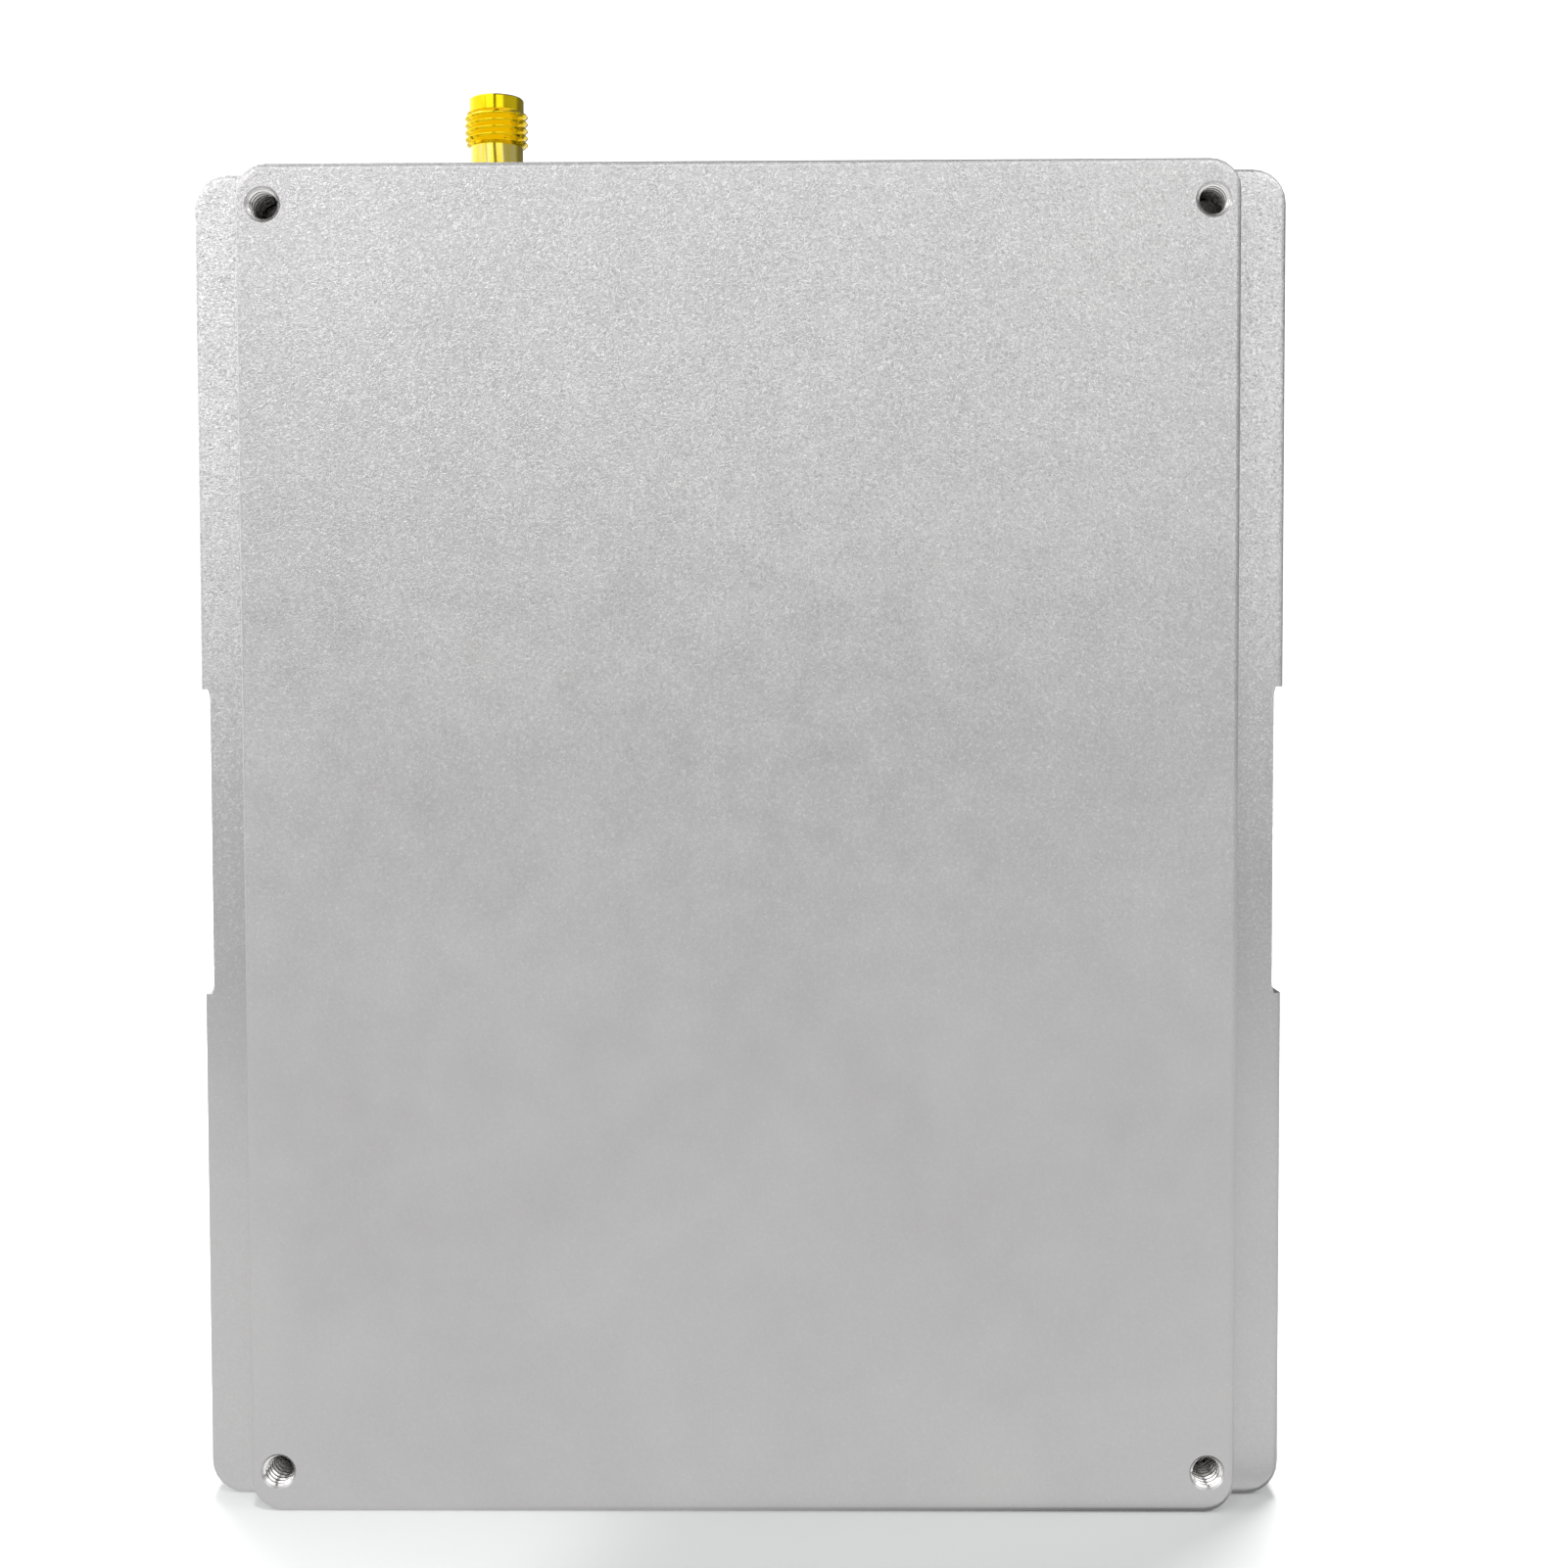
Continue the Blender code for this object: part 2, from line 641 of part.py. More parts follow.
def socket_screw(name, origin, direction, head, shank, socket, finish):
    """Cap screw; head and shank are (radius, length), origin is the underside of the head."""
    head_radius, head_length = head
    shank_radius, shank_length = shank
    rim, point = 0.25, 0.4
    profile = [
        (0, head_length),
        (head_radius - rim, head_length),
        (head_radius, head_length - rim),
        (head_radius, 0),
        (shank_radius, 0),
        (shank_radius, point - shank_length),
        (shank_radius - point, -shank_length),
        (0, -shank_length),
    ]
    screw = turned(name, profile, origin, direction, 16)
    start = Vector(origin) + direction * (head_length + OVERRUN)
    end = Vector(origin) + direction * (head_length * 0.4)
    cut(screw, cylinder(name + "_socket", socket, start, end, 6))
    return finish_part(freeze(screw), finish)


def cover_screws():
    seat = FRONT_Y + COVER_COUNTERBORE[1] - SLIM_GAP
    places = [(side * COVER_SCREW_X, seat, z) for side in (-1, 1) for z in both_ends(COVER_SCREW_INSET_Z)]
    for number, place in enumerate(places, 1):
        name = f"cover_screw_{number}"
        size = (COVER_SCREW_HEAD, COVER_SCREW_SHANK, COVER_SCREW_SOCKET)
        socket_screw(name, place, TO_FRONT, *size, "black_screw_steel")


# ---------------------------------------------------------------- circuit board and what it carries
def main_board():
    outlines = [rounded_rect(BOARD_WIDTH, BOARD_HEIGHT, 1.0, steps=2)]
    for side in (-1, 1):
        for z in BOARD_SCREW_Z:
            outlines.append(circle(side * BOARD_SCREW_X, z, BOARD_HOLE_RADIUS, 16))
    board = plate("main_board", outlines, BOARD_FRONT_Y, BOARD_BACK_Y)
    for side in (-1, 1):
        for z in both_ends(0):
            x = side * BODY_WIDTH / 2
            low = (x - BOARD_CORNER_NOTCH, BOARD_FRONT_Y - OVERRUN, z - BOARD_CORNER_NOTCH)
            high = (x + BOARD_CORNER_NOTCH, BOARD_BACK_Y + OVERRUN, z + BOARD_CORNER_NOTCH)
            cut(board, box("board_corner", low, high))
    half = JACK_SIZE / 2 + 0.5
    low = (JACK_X - half, BOARD_FRONT_Y - OVERRUN, JACK_LOW_Z - 0.6)
    high = (JACK_X + half, BOARD_BACK_Y + OVERRUN, BODY_HEIGHT)
    cut(board, box("jack_cutout", low, high))
    return finish_part(freeze(board), "solder_mask")


def board_screws():
    seat = BOARD_FRONT_Y - SLIM_GAP
    places = [(side * BOARD_SCREW_X, seat, z) for side in (-1, 1) for z in BOARD_SCREW_Z]
    for number, place in enumerate(places, 1):
        name = f"board_screw_{number}"
        size = (BOARD_SCREW_HEAD, BOARD_SCREW_SHANK, BOARD_SCREW_SOCKET)
        socket_screw(name, place, TO_FRONT, *size, "zinc_screw_steel")


def shield_can(name):
    """Drawn sheet lid, open towards the board."""
    x, z, width, height = SHIELD_CANS[name]
    back = BOARD_FRONT_Y - SLIM_GAP
    front = back - SHIELD_CAN_DEPTH
    can = box(name, (x - width / 2, front, z - height / 2), (x + width / 2, back, z + height / 2))
    edit = bmesh.new()
    edit.from_mesh(can.data)
    open_side = [face for face in edit.faces if face.normal.y > 0.9]
    bmesh.ops.delete(edit, geom=open_side, context="FACES_ONLY")
    edit.to_mesh(can.data)
    edit.free()
    sheet = can.modifiers.new("sheet", "SOLIDIFY")
    sheet.thickness = SHIELD_CAN_SHEET * MM
    sheet.offset = -1.0
    return finish_part(freeze(can), "tinned_steel")


def board_block(name):
    x, z, width, height, depth, finish = BOARD_BLOCKS[name]
    back = BOARD_FRONT_Y - SLIM_GAP
    low = (x - width / 2, back - depth, z - height / 2)
    high = (x + width / 2, back, z + height / 2)
    return finish_part(freeze(bevel(box(name, low, high), 0.25, 1)), finish)


def square_block(name, x, z, half, levels):
    return box(name, (x - half, levels[0], z - half), (x + half, levels[1], z + half))


def amplifier_stack(name, x, z):
    """Amplifier chip on the back of the board, with a pad that carries its heat to the housing."""
    chip = square_block(f"{name}_amplifier", x, z, AMPLIFIER_HALF, AMPLIFIER_Y)
    finish_part(freeze(bevel(chip, 0.2, 1)), "chip_epoxy")
    pad = square_block(f"{name}_thermal_pad", x, z, THERMAL_PAD_HALF, THERMAL_PAD_Y)
    finish_part(pad, "thermal_pad")


def bulk_capacitor():
    profile = [(0, 5.8), (2.8, 5.8), (3.15, 5.4), (3.15, 0.9), (3.15, 0), (0, 0)]
    x, z = CAPACITOR_PLACE
    origin = (x, BOARD_FRONT_Y - SLIM_GAP, z)
    return finish_part(turned("bulk_capacitor", profile, origin, TO_FRONT, 24), "tinned_steel")


def indicator(number, x):
    """One light-emitting diode on the board and the clear pipe that carries its light to the front."""
    half_x, half_z = LED_HALF
    back = BOARD_FRONT_Y - SLIM_GAP
    front = back - LED_DEPTH
    low = (x - half_x, front, INDICATOR_Z - half_z)
    led = box(f"led_{number}", low, (x + half_x, back, INDICATOR_Z + half_z))
    finish_part(freeze(bevel(led, 0.2, 1)), "led_package")
    pipe_back = front - PIPE_LED_GAP
    length = pipe_back - (FRONT_Y + 0.1)
    collar = pipe_back - (COVER_INNER_Y + GAP)
    profile = [
        (0, length),
        (PIPE_RADIUS - 0.2, length - 0.1),
        (PIPE_RADIUS, length - 0.35),
        (PIPE_RADIUS, collar),
        (PIPE_COLLAR_RADIUS, collar),
        (PIPE_COLLAR_RADIUS, collar - PIPE_COLLAR_DEPTH),
        (PIPE_RADIUS, collar - PIPE_COLLAR_DEPTH),
        (PIPE_RADIUS, 0),
        (0, 0),
    ]
    pipe = turned(f"light_pipe_{number}", profile, (x, pipe_back, INDICATOR_Z), TO_FRONT, 16)
    finish_part(pipe, "clear_acrylic")


# ---------------------------------------------------------------- built-in antenna
def peg_post(name, place, foot_y, shoulder_y, tip_y, finish):
    """Round post: its shoulder carries a plate, and a thin peg passes through the plate's hole."""
    x, z = place
    shoulder = foot_y - shoulder_y
    tip = foot_y - tip_y
    profile = [(0, tip), (PEG_RADIUS, tip), (PEG_RADIUS, shoulder)]
    profile += [(POST_RADIUS, shoulder), (POST_RADIUS, 0), (0, 0)]
    return finish_part(turned(name, profile, (x, foot_y, z), TO_FRONT, 20), finish)


def antenna_ground_plate():
    (x_low, z_low), (x_high, z_high) = GROUND_LOW, GROUND_HIGH
    middle = ((x_low + x_high) / 2, (z_low + z_high) / 2)
    outlines = [rounded_rect(x_high - x_low, z_high - z_low, 3.0, middle, 3)]
    outlines += [circle(x, z, PEG_HOLE_RADIUS, 16) for x, z in STANDOFF_PLACES]
    return finish_part(plate("antenna_ground_plate", outlines, *GROUND_Y), "sheet_aluminium")


def antenna_patch():
    outlines = [rounded_rect(PATCH_SIZE, PATCH_SIZE, 6.0, (0.0, PATCH_Z), 4)]
    outlines += [circle(x, z, PEG_HOLE_RADIUS, 16) for x, z in SPACER_PLACES]
    return finish_part(plate("antenna_patch", outlines, *PATCH_Y), "sheet_brass")


def antenna_posts():
    foot = BOARD_FRONT_Y - SLIM_GAP
    shoulder = GROUND_Y[1] + SLIM_GAP
    for number, place in enumerate(STANDOFF_PLACES, 1):
        tip = GROUND_Y[0] + PEG_SHORTFALL
        peg_post(f"ground_standoff_{number}", place, foot, shoulder, tip, "nickel_plate")
    foot = GROUND_Y[0] - SLIM_GAP
    shoulder = PATCH_Y[1] + SLIM_GAP
    for number, place in enumerate(SPACER_PLACES, 1):
        peg_post(f"patch_spacer_{number}", place, foot, shoulder, PATCH_Y[0] + PEG_SHORTFALL, "ptfe")


def antenna_feed_pin():
    """Upright pin between the end of the lead and the patch."""
    x, y, z = COAX_END
    start = (x, y + FEED_PIN_RADIUS, z - FEED_PIN_OFFSET)
    end = (x, PATCH_Y[1] + SLIM_GAP, z - FEED_PIN_OFFSET)
    return finish_part(cylinder("antenna_feed_pin", FEED_PIN_RADIUS, start, end, 16), "nickel_plate")


def antenna_coax():
    return finish_part(wire("antenna_coax", COAX_ROUTE, COAX_RADIUS), "cable_jacket", 50)


def coax_socket():
    x, z = COAX_SOCKET_PLACE
    origin = (x, BOARD_FRONT_Y - SLIM_GAP, z)
    profile = [(0, 3.8), (1.7, 3.8), (1.9, 3.6), (1.9, 2.2), (1.3, 2.2)]
    profile += [(1.3, 0.6), (1.7, 0.6), (1.7, 0), (0, 0)]
    return finish_part(turned("coax_socket", profile, origin, TO_FRONT, 20), "gold_plate")


# ---------------------------------------------------------------- outdoor antenna connector
def sma_thread_groove():
    """Square coil, corner inwards, that cuts the groove of the right-hand thread."""
    crest_gap = 0.015
    half_diagonal = SMA_THREAD_DEPTH + crest_gap
    radius = SMA_MAJOR_RADIUS + crest_gap
    low = SMA_THREAD_LOW_Z - SMA_PITCH / 2
    turns = (SMA_THREAD_TOP_Z - low) / SMA_PITCH + 0.5
    route = []
    for step in range(round(turns * SMA_SEGMENTS)):
        turn = step / SMA_SEGMENTS
        angle = 2 * math.pi * turn
        x = SMA_X + radius * math.cos(angle)
        y = PORT_Y + radius * math.sin(angle)
        route.append((x, y, low + SMA_PITCH * turn))
    return wire("sma_thread_groove", route, half_diagonal, 0)


def sma_barrel():
    """Outer form of the port: rim, thread crests, neck."""
    chamfer = SMA_THREAD_CHAMFER
    profile = [
        (0, SMA_TOP_Z),
        (SMA_RIM_RADIUS - 0.15, SMA_TOP_Z),
        (SMA_RIM_RADIUS, SMA_TOP_Z - 0.15),
        (SMA_RIM_RADIUS, SMA_THREAD_TOP_Z),
        (SMA_MAJOR_RADIUS, SMA_THREAD_TOP_Z - chamfer),
        (SMA_MAJOR_RADIUS, SMA_THREAD_LOW_Z + chamfer),
        (SMA_NECK_RADIUS, SMA_THREAD_LOW_Z),
        (SMA_NECK_RADIUS, SMA_FLANGE_Z[0]),
        (0, SMA_FLANGE_Z[0]),
    ]
    return turned("sma_shell", profile, (SMA_X, PORT_Y, 0), UP, SMA_SEGMENTS)


def sma_shell():
    flange_low, flange_high = SMA_FLANGE_Z
    shell = sma_barrel()
    cut(shell, sma_thread_groove())
    outline = rounded_rect(*SMA_FLANGE_SIZE, 2.2, (SMA_X, PORT_Y), 5)
    join(shell, plate("sma_flange", [outline], flange_low, flange_high, "Z"))
    step = SMA_TOP_Z - SMA_MOUTH_DEPTH
    cup = [(0, SMA_TOP_Z + OVERRUN), (SMA_MOUTH_RADIUS, SMA_TOP_Z + OVERRUN), (SMA_MOUTH_RADIUS, step)]
    cup += [(SMA_BORE_RADIUS, step), (SMA_BORE_RADIUS, flange_low - OVERRUN), (0, flange_low - OVERRUN)]
    cut(shell, turned("sma_bore", cup, (SMA_X, PORT_Y, 0), UP))
    for side in (-1, 1):
        sink = [(0, 1), (3.25, 1), (2.25, 0), (1.25, -1.0), (1.25, -3), (0, -3)]
        place = (SMA_X + side * SMA_SCREW_OFFSET, PORT_Y, flange_high)
        cut(shell, turned("sma_countersink", sink, place, UP, 24))
    return finish_part(freeze(shell), "gold_plate", 40)


def sma_insulator():
    """White dielectric sleeve that holds the contact in the middle of the bore."""
    top = SMA_TOP_Z - SMA_MOUTH_DEPTH
    low = BODY_HEIGHT - WALL - 0.6
    radius = SMA_BORE_RADIUS - SLIM_GAP
    profile = [(0, top), (radius - 0.1, top), (radius, top - 0.1), (radius, low), (0, low)]
    body = turned("sma_insulator", profile, (SMA_X, PORT_Y, 0), UP)
    start = (SMA_X, PORT_Y, low - OVERRUN)
    cut(body, cylinder("contact_bore", 0.75, start, (SMA_X, PORT_Y, top + OVERRUN)))
    return finish_part(freeze(body), "ptfe")


def sma_centre_contact():
    """Socket contact: open at the mating end, a thin tail that is soldered to the board."""
    top = SMA_TOP_Z - SMA_MOUTH_DEPTH - 0.05
    neck = BODY_HEIGHT - WALL
    low = CONTACT_TAIL_Z
    profile = [(0, top), (0.55, top), (0.64, top - 0.1), (0.64, neck)]
    profile += [(0.42, neck - 0.2), (0.42, low), (0, low)]
    contact = turned("sma_centre_contact", profile, (SMA_X, PORT_Y, 0), UP, 20)
    start = (SMA_X, PORT_Y, top - 2.5)
    cut(contact, cylinder("contact_socket", 0.4, start, (SMA_X, PORT_Y, top + OVERRUN), 16))
    return finish_part(freeze(contact), "gold_plate")


def sma_flange_screws():
    for number, side in enumerate((-1, 1), 1):
        place = (SMA_X + side * SMA_SCREW_OFFSET, PORT_Y, SMA_FLANGE_Z[1])
        profile = [(0, -0.1), (2.0, -0.1), (2.05, -0.2), (1.0, -1.25), (0.95, -3.8), (0, -3.8)]
        screw = turned(f"sma_flange_screw_{number}", profile, place, UP, 24)
        x, y, z = place
        for half_x, half_y in ((1.2, 0.2), (0.2, 1.2)):
            low = (x - half_x, y - half_y, z - 0.8)
            high = (x + half_x, y + half_y, z + OVERRUN)
            cut(screw, box(f"cross_slot_{number}", low, high))
        finish_part(freeze(screw), "zinc_screw_steel")


# ---------------------------------------------------------------- power socket and power switch
def dc_jack():
    """Moulded socket body with a round nose in the housing's opening, and its centre pin."""
    shoulder_z = BODY_HEIGHT - WALL - JACK_BACK
    mouth_z = BODY_HEIGHT - GAP
    half = JACK_SIZE / 2
    low = (JACK_X - half, PORT_Y - half, JACK_LOW_Z)
    body = box("dc_jack_body", low, (JACK_X + half, PORT_Y + half, shoulder_z))
    bevel(body, 0.4, 1)
    start = (JACK_X, PORT_Y, JACK_LOW_Z + 3)
    join(body, cylinder("jack_nose", JACK_NOSE_RADIUS, start, (JACK_X, PORT_Y, mouth_z), 36))
    barrel_low = mouth_z - JACK_BARREL_DEPTH
    pin_low = JACK_LOW_Z + JACK_BACK
    barrel = [
        (0, mouth_z + OVERRUN),
        (JACK_BARREL_RADIUS + 1.15, mouth_z + OVERRUN),
        (JACK_BARREL_RADIUS, mouth_z - 0.4),
        (JACK_BARREL_RADIUS, barrel_low),
        (JACK_PIN_BORE_RADIUS, barrel_low),
        (JACK_PIN_BORE_RADIUS, pin_low),
        (0, pin_low),
    ]
    cut(body, turned("jack_barrel", barrel, (JACK_X, PORT_Y, 0), UP))
    finish_part(freeze(body), "black_plastic")
    tip = mouth_z - 0.9
    foot = pin_low + GAP
    pin = [(0, tip), (0.5, tip - 0.1), (JACK_PIN_RADIUS, tip - 0.7), (JACK_PIN_RADIUS, foot), (0, foot)]
    finish_part(turned("dc_jack_pin", pin, (JACK_X, PORT_Y, 0), UP, 24), "nickel_plate")


def centred_box(name, x, y, half, levels):
    """A box about an upright axis, between two heights."""
    half_x, half_y = half
    return box(name, (x - half_x, y - half_y, levels[0]), (x + half_x, y + half_y, levels[1]))


def switch_body():
    half = (SWITCH_SIZE[0] / 2, SWITCH_SIZE[1] / 2)
    body = centred_box("power_switch_body", SWITCH_X, SWITCH_Y, half, SWITCH_BODY_Z)
    track_half = (SLIDER_HALF[0] + SWITCH_TRAVEL / 2 + GAP, SLIDER_HALF[1] + GAP)
    levels = (SWITCH_TRACK_Z, SWITCH_BODY_Z[1] + OVERRUN)
    cut(body, centred_box("switch_track", SWITCH_X, SWITCH_Y, track_half, levels))
    return finish_part(freeze(bevel(body, 0.15, 1)), "black_plastic")


def switch_frame():
    """Sheet steel frame over the body, with a slot for the knob."""
    half_x = KNOB_HALF[0] + SWITCH_TRAVEL / 2 + 0.2
    half_y = KNOB_HALF[1] + 0.25
    slot = [
        (SWITCH_X - half_x, SWITCH_Y - half_y),
        (SWITCH_X + half_x, SWITCH_Y - half_y),
        (SWITCH_X + half_x, SWITCH_Y + half_y),
        (SWITCH_X - half_x, SWITCH_Y + half_y),
    ]
    outline = rounded_rect(*SWITCH_SIZE, 0.5, (SWITCH_X, SWITCH_Y), 2)
    low = SWITCH_BODY_Z[1] + SLIM_GAP
    frame = plate("power_switch_frame", [outline, slot], low, low + SWITCH_SHEET, "Z")
    return finish_part(frame, "tinned_steel")


def switch_slider():
    """The slider at its low-X end, with a grooved knob that stands out of the housing."""
    x, y = SWITCH_X - SWITCH_TRAVEL / 2, SWITCH_Y
    slider = centred_box("power_switch_slider", x, y, SLIDER_HALF, SLIDER_Z)
    knob = centred_box("slider_knob", x, y, KNOB_HALF, (KNOB_LOW_Z, KNOB_TOP_Z))
    join(slider, bevel(knob, 0.2, 2))
    levels = (KNOB_TOP_Z - KNOB_GROOVE_DEPTH, KNOB_TOP_Z + OVERRUN)
    for step in (-1, 0, 1):
        groove_x = x + step * KNOB_GROOVE_PITCH
        cut(slider, centred_box("knob_groove", groove_x, y, (0.2, 2.0), levels))
    slider = finish_part(freeze(slider), "black_plastic")
    set_origin(slider, (x, y, SWITCH_BODY_Z[1]))


def set_origin(obj, place):
    """Move an object's origin without moving its shape."""
    bpy.context.view_layer.update()
    target = at(*place)
    shift = obj.matrix_world.inverted() @ target
    for vertex in obj.data.vertices:
        vertex.co -= shift
    obj.matrix_world.translation = target


# ---------------------------------------------------------------- build
def build():
    clear_scene()
    new_collection(COLLECTION)
    new_collection("cutters")
    rear_housing()
    front_cover()
    cover_gasket()
    cover_screws()
    main_board()
    board_screws()
    for name in SHIELD_CANS:
        shield_can(name)
    for name in BOARD_BLOCKS:
        board_block(name)
    for name, (x, z) in AMPLIFIER_PLACES.items():
        amplifier_stack(name, x, z)
    bulk_capacitor()
    for number, x in enumerate(INDICATOR_X, 1):
        indicator(number, x)
    antenna_ground_plate()
    antenna_patch()
    antenna_posts()
    antenna_feed_pin()
    antenna_coax()
    coax_socket()
    sma_shell()
    sma_insulator()
    sma_centre_contact()
    sma_flange_screws()
    dc_jack()
    switch_body()
    switch_frame()
    switch_slider()


build()
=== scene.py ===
"""Cellular signal booster: surfaces, studio and camera around its CAD pieces.

Lengths are in metres unless a name says MM. The booster stands on Z = 0, its plastic front cover faces -Y
and its metal back faces +Y. The CAD pieces keep their places and their vertices. Ranges named BAND hold
the two ends between which a mask or a tone fades.
"""

import json
import math

import bmesh
import bpy
from mathutils import Matrix, Vector


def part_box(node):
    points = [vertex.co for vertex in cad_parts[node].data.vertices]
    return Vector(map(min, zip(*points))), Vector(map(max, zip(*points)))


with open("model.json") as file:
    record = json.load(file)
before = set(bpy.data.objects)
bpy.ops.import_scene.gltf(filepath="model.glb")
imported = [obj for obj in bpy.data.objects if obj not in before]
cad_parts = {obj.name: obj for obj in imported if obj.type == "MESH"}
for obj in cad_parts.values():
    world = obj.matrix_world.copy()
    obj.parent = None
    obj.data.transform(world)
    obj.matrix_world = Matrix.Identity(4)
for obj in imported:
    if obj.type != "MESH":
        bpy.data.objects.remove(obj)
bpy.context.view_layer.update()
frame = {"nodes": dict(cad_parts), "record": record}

MM = 0.001

# Smoothing of the CAD pieces
WELD_DISTANCE = 1e-6
SMOOTH_ANGLE = math.radians(32)
NORMAL_WEIGHT = 80

# Tapped holes in the back, measured from the housing's sides, ends and back
HOLE_SIDE_INSET = 8.0 * MM
HOLE_END_INSET = 4.0 * MM
THREAD_PITCH = 0.794 * MM
THREAD_ROOT_RADIUS = 1.74 * MM
THREAD_INNER_RADIUS = 1.2 * MM
THREAD_HALF_WIDTH = 0.47 * THREAD_PITCH
THREAD_STEPS = 36
THREAD_START = 0.2 * MM
THREAD_STOP = 7.0 * MM

# Housing: tones of the blasted aluminium, with painted light high on the shoulder and towards -X, painted
# shade at the shoulder's middle height and deep in the tapped holes, and painted glints in the grain
CLOUD_TONES = (0.553, 0.543, 0.551), (0.604, 0.596, 0.594)
PATCH_TONE = (0.63, 0.624, 0.628)
UPPER_SHOULDER_PAINTED_LIGHT_TONE = (0.72, 0.713, 0.716)
WAIST_PAINTED_SHADE_TONE = (0.42, 0.415, 0.418)
UPPER_CORNER_PAINTED_LIGHT_TONE = (0.73, 0.722, 0.724)
GRAIN_AND_SHADE_DARK_TONE = (0.36, 0.355, 0.358)
GRAIN_AND_GLINT_BRIGHT_TONE = (0.95, 0.95, 0.95)
WORN_TONE = (0.86, 0.86, 0.85)
BARE_METAL_AND_HOLE_SHADE_TONES = (0.95, 0.94, 0.92), (0.3, 0.295, 0.29)
GROOVE_PAINTED_SHADE_TONE = (0.05, 0.048, 0.045)

# Housing: where each tone lies, in mm
SHOULDER_BAND_MM = 11.0, 9.5
COARSE_GRAIN_AND_GLINT_BAND_MM = 45.0, 110.0
UPPER_SHOULDER_BAND_MM = 60.0, 105.0
WAIST_HEIGHT_MM = 60.0
WAIST_BAND_MM = 6.0, 28.0
CORNER_HEIGHT_BAND_MM = 78.0, 100.0
CORNER_WIDTH_BAND_MM = 30.0, -10.0
RAW_BAND_MM = 1.6, 1.52
HOLE_SHADE_HEIGHT_BAND_MM = 40.0, 90.0
LOW_HOLE_SHADE_DEPTH_BAND_MM = 2.4, 6.5
HIGH_HOLE_SHADE_DEPTH_BAND_MM = 0.5, 3.6
GROOVE_RADIUS_BAND_MM = 1.46, 1.62
GROOVE_DEPTH_BAND_MM = 0.4, 0.5
BLAST_DEPTH_MM = 0.035
WAVE_DEPTH_MM = 0.006

# Gold port, heights measured down from its top and up from the foot of its thread
GOLD_TONES = (0.74, 0.54, 0.006), (0.86, 0.68, 0.014)
NECK_PAINTED_SHADE_TONE = (0.74, 0.65, 0.26)
THREAD_TONE = (1.0, 0.74, 0.012)
GOLD_WORN_TONE = (0.95, 0.84, 0.36)
PORT_THREAD_FOOT_MM = 4.85
PORT_THREAD_RISE_MM = 3.4
PORT_NECK_FADE_MM = 0.25
PORT_THREAD_FADE_MM = 0.05

# Circuit board
MASK_TONE = (0.008, 0.085, 0.035)
TRACK_TONE = (0.02, 0.17, 0.07)
MASK_CLOUD_TONE = (0.03, 0.12, 0.06)
TRACK_HALF_PITCH_MM = 0.4
TRACK_EDGE_BAND_MM = 0.2, 0.24

# Light pipes
PIPE_TONES = (0.86, 0.9, 0.9), (0.95, 0.97, 0.96)

# Floor
FLOOR_SIZE = 8.0
FLOOR_TONES = (0.92, 0.94, 0.933), (0.945, 0.96, 0.955)
FLOOR_GLOW = 0.85
SHOULDER_DEPTH_MM = 5.0
CONTACT_SHADOW_BAND_MM = 0.4, 1.6
CONTACT_SHADOW_SIDE_BAND_MM = 30.0, -40.0
CONTACT_SHADOW_GLOWS = 0.8, 0.25

# Surround, by the direction's X, Y or Z
CAMERA_WHITE = 1.2
RISE_BAND = 0.02, 0.32
RISE_LEVELS = 0.16, 1.95
OVERHEAD_BAND = 0.45, 0.85
OVERHEAD_DIFFUSE_DROP = 1.6
OVERHEAD_GLOSSY_DROP = 0.95
FLAG_BAND = -0.62, -0.52
FLAG_LEVEL = 0.34
FLAG_TOP_BAND = 0.38, 0.5
SEAM_PLACE = 0.6
SEAM_BAND = 0.03, 0.05
SEAM_LEVEL = 0.6
STRIP_BAND = 0.08, 0.13
STRIP_LEVEL = 0.2
BEHIND_START_BAND = -0.1, -0.4
BEHIND_BAND = 0.22, -0.12
BEHIND_DIFFUSE_LEVEL = 1.1
BEHIND_GLOSSY_LEVEL = 1.7
BEHIND_RIGHT_LEVEL = 0.2

# Lamps
KEY_ENERGY = 4.2
KEY_ANGLE = math.radians(24.0)
KEY_DIRECTION = Vector((0.02, 0.33, -0.94))
FILL_PLACE = Vector((0.042, 0.06, 0.10))
FILL_TARGET = Vector((0.036, 0.02, 0.0))
FILL_ENERGY = 0.11
FILL_ANGLE = math.radians(30.0)
FILL_BLEND = 0.7
FILL_RADIUS = 0.006
SOFTBOX_PLACE = Vector((0.32, 0.75, 0.52))
SOFTBOX_TARGET = Vector((0.0, 0.0, 0.08))
SOFTBOX_SIZE = 0.5, 0.35
SOFTBOX_ENERGY = 0.5

# Camera, measured from the centre of the back face
CAMERA_PLACE = Vector((-7.18, 218.83, 15.62)) * MM
CAMERA_AIM = Vector((-4.38, 0.0, 5.92)) * MM
CAMERA_ROLL = -0.00286
CAMERA_LENS = 51.72
CAMERA_SENSOR = 36.0
CAMERA_NEAR = 0.01

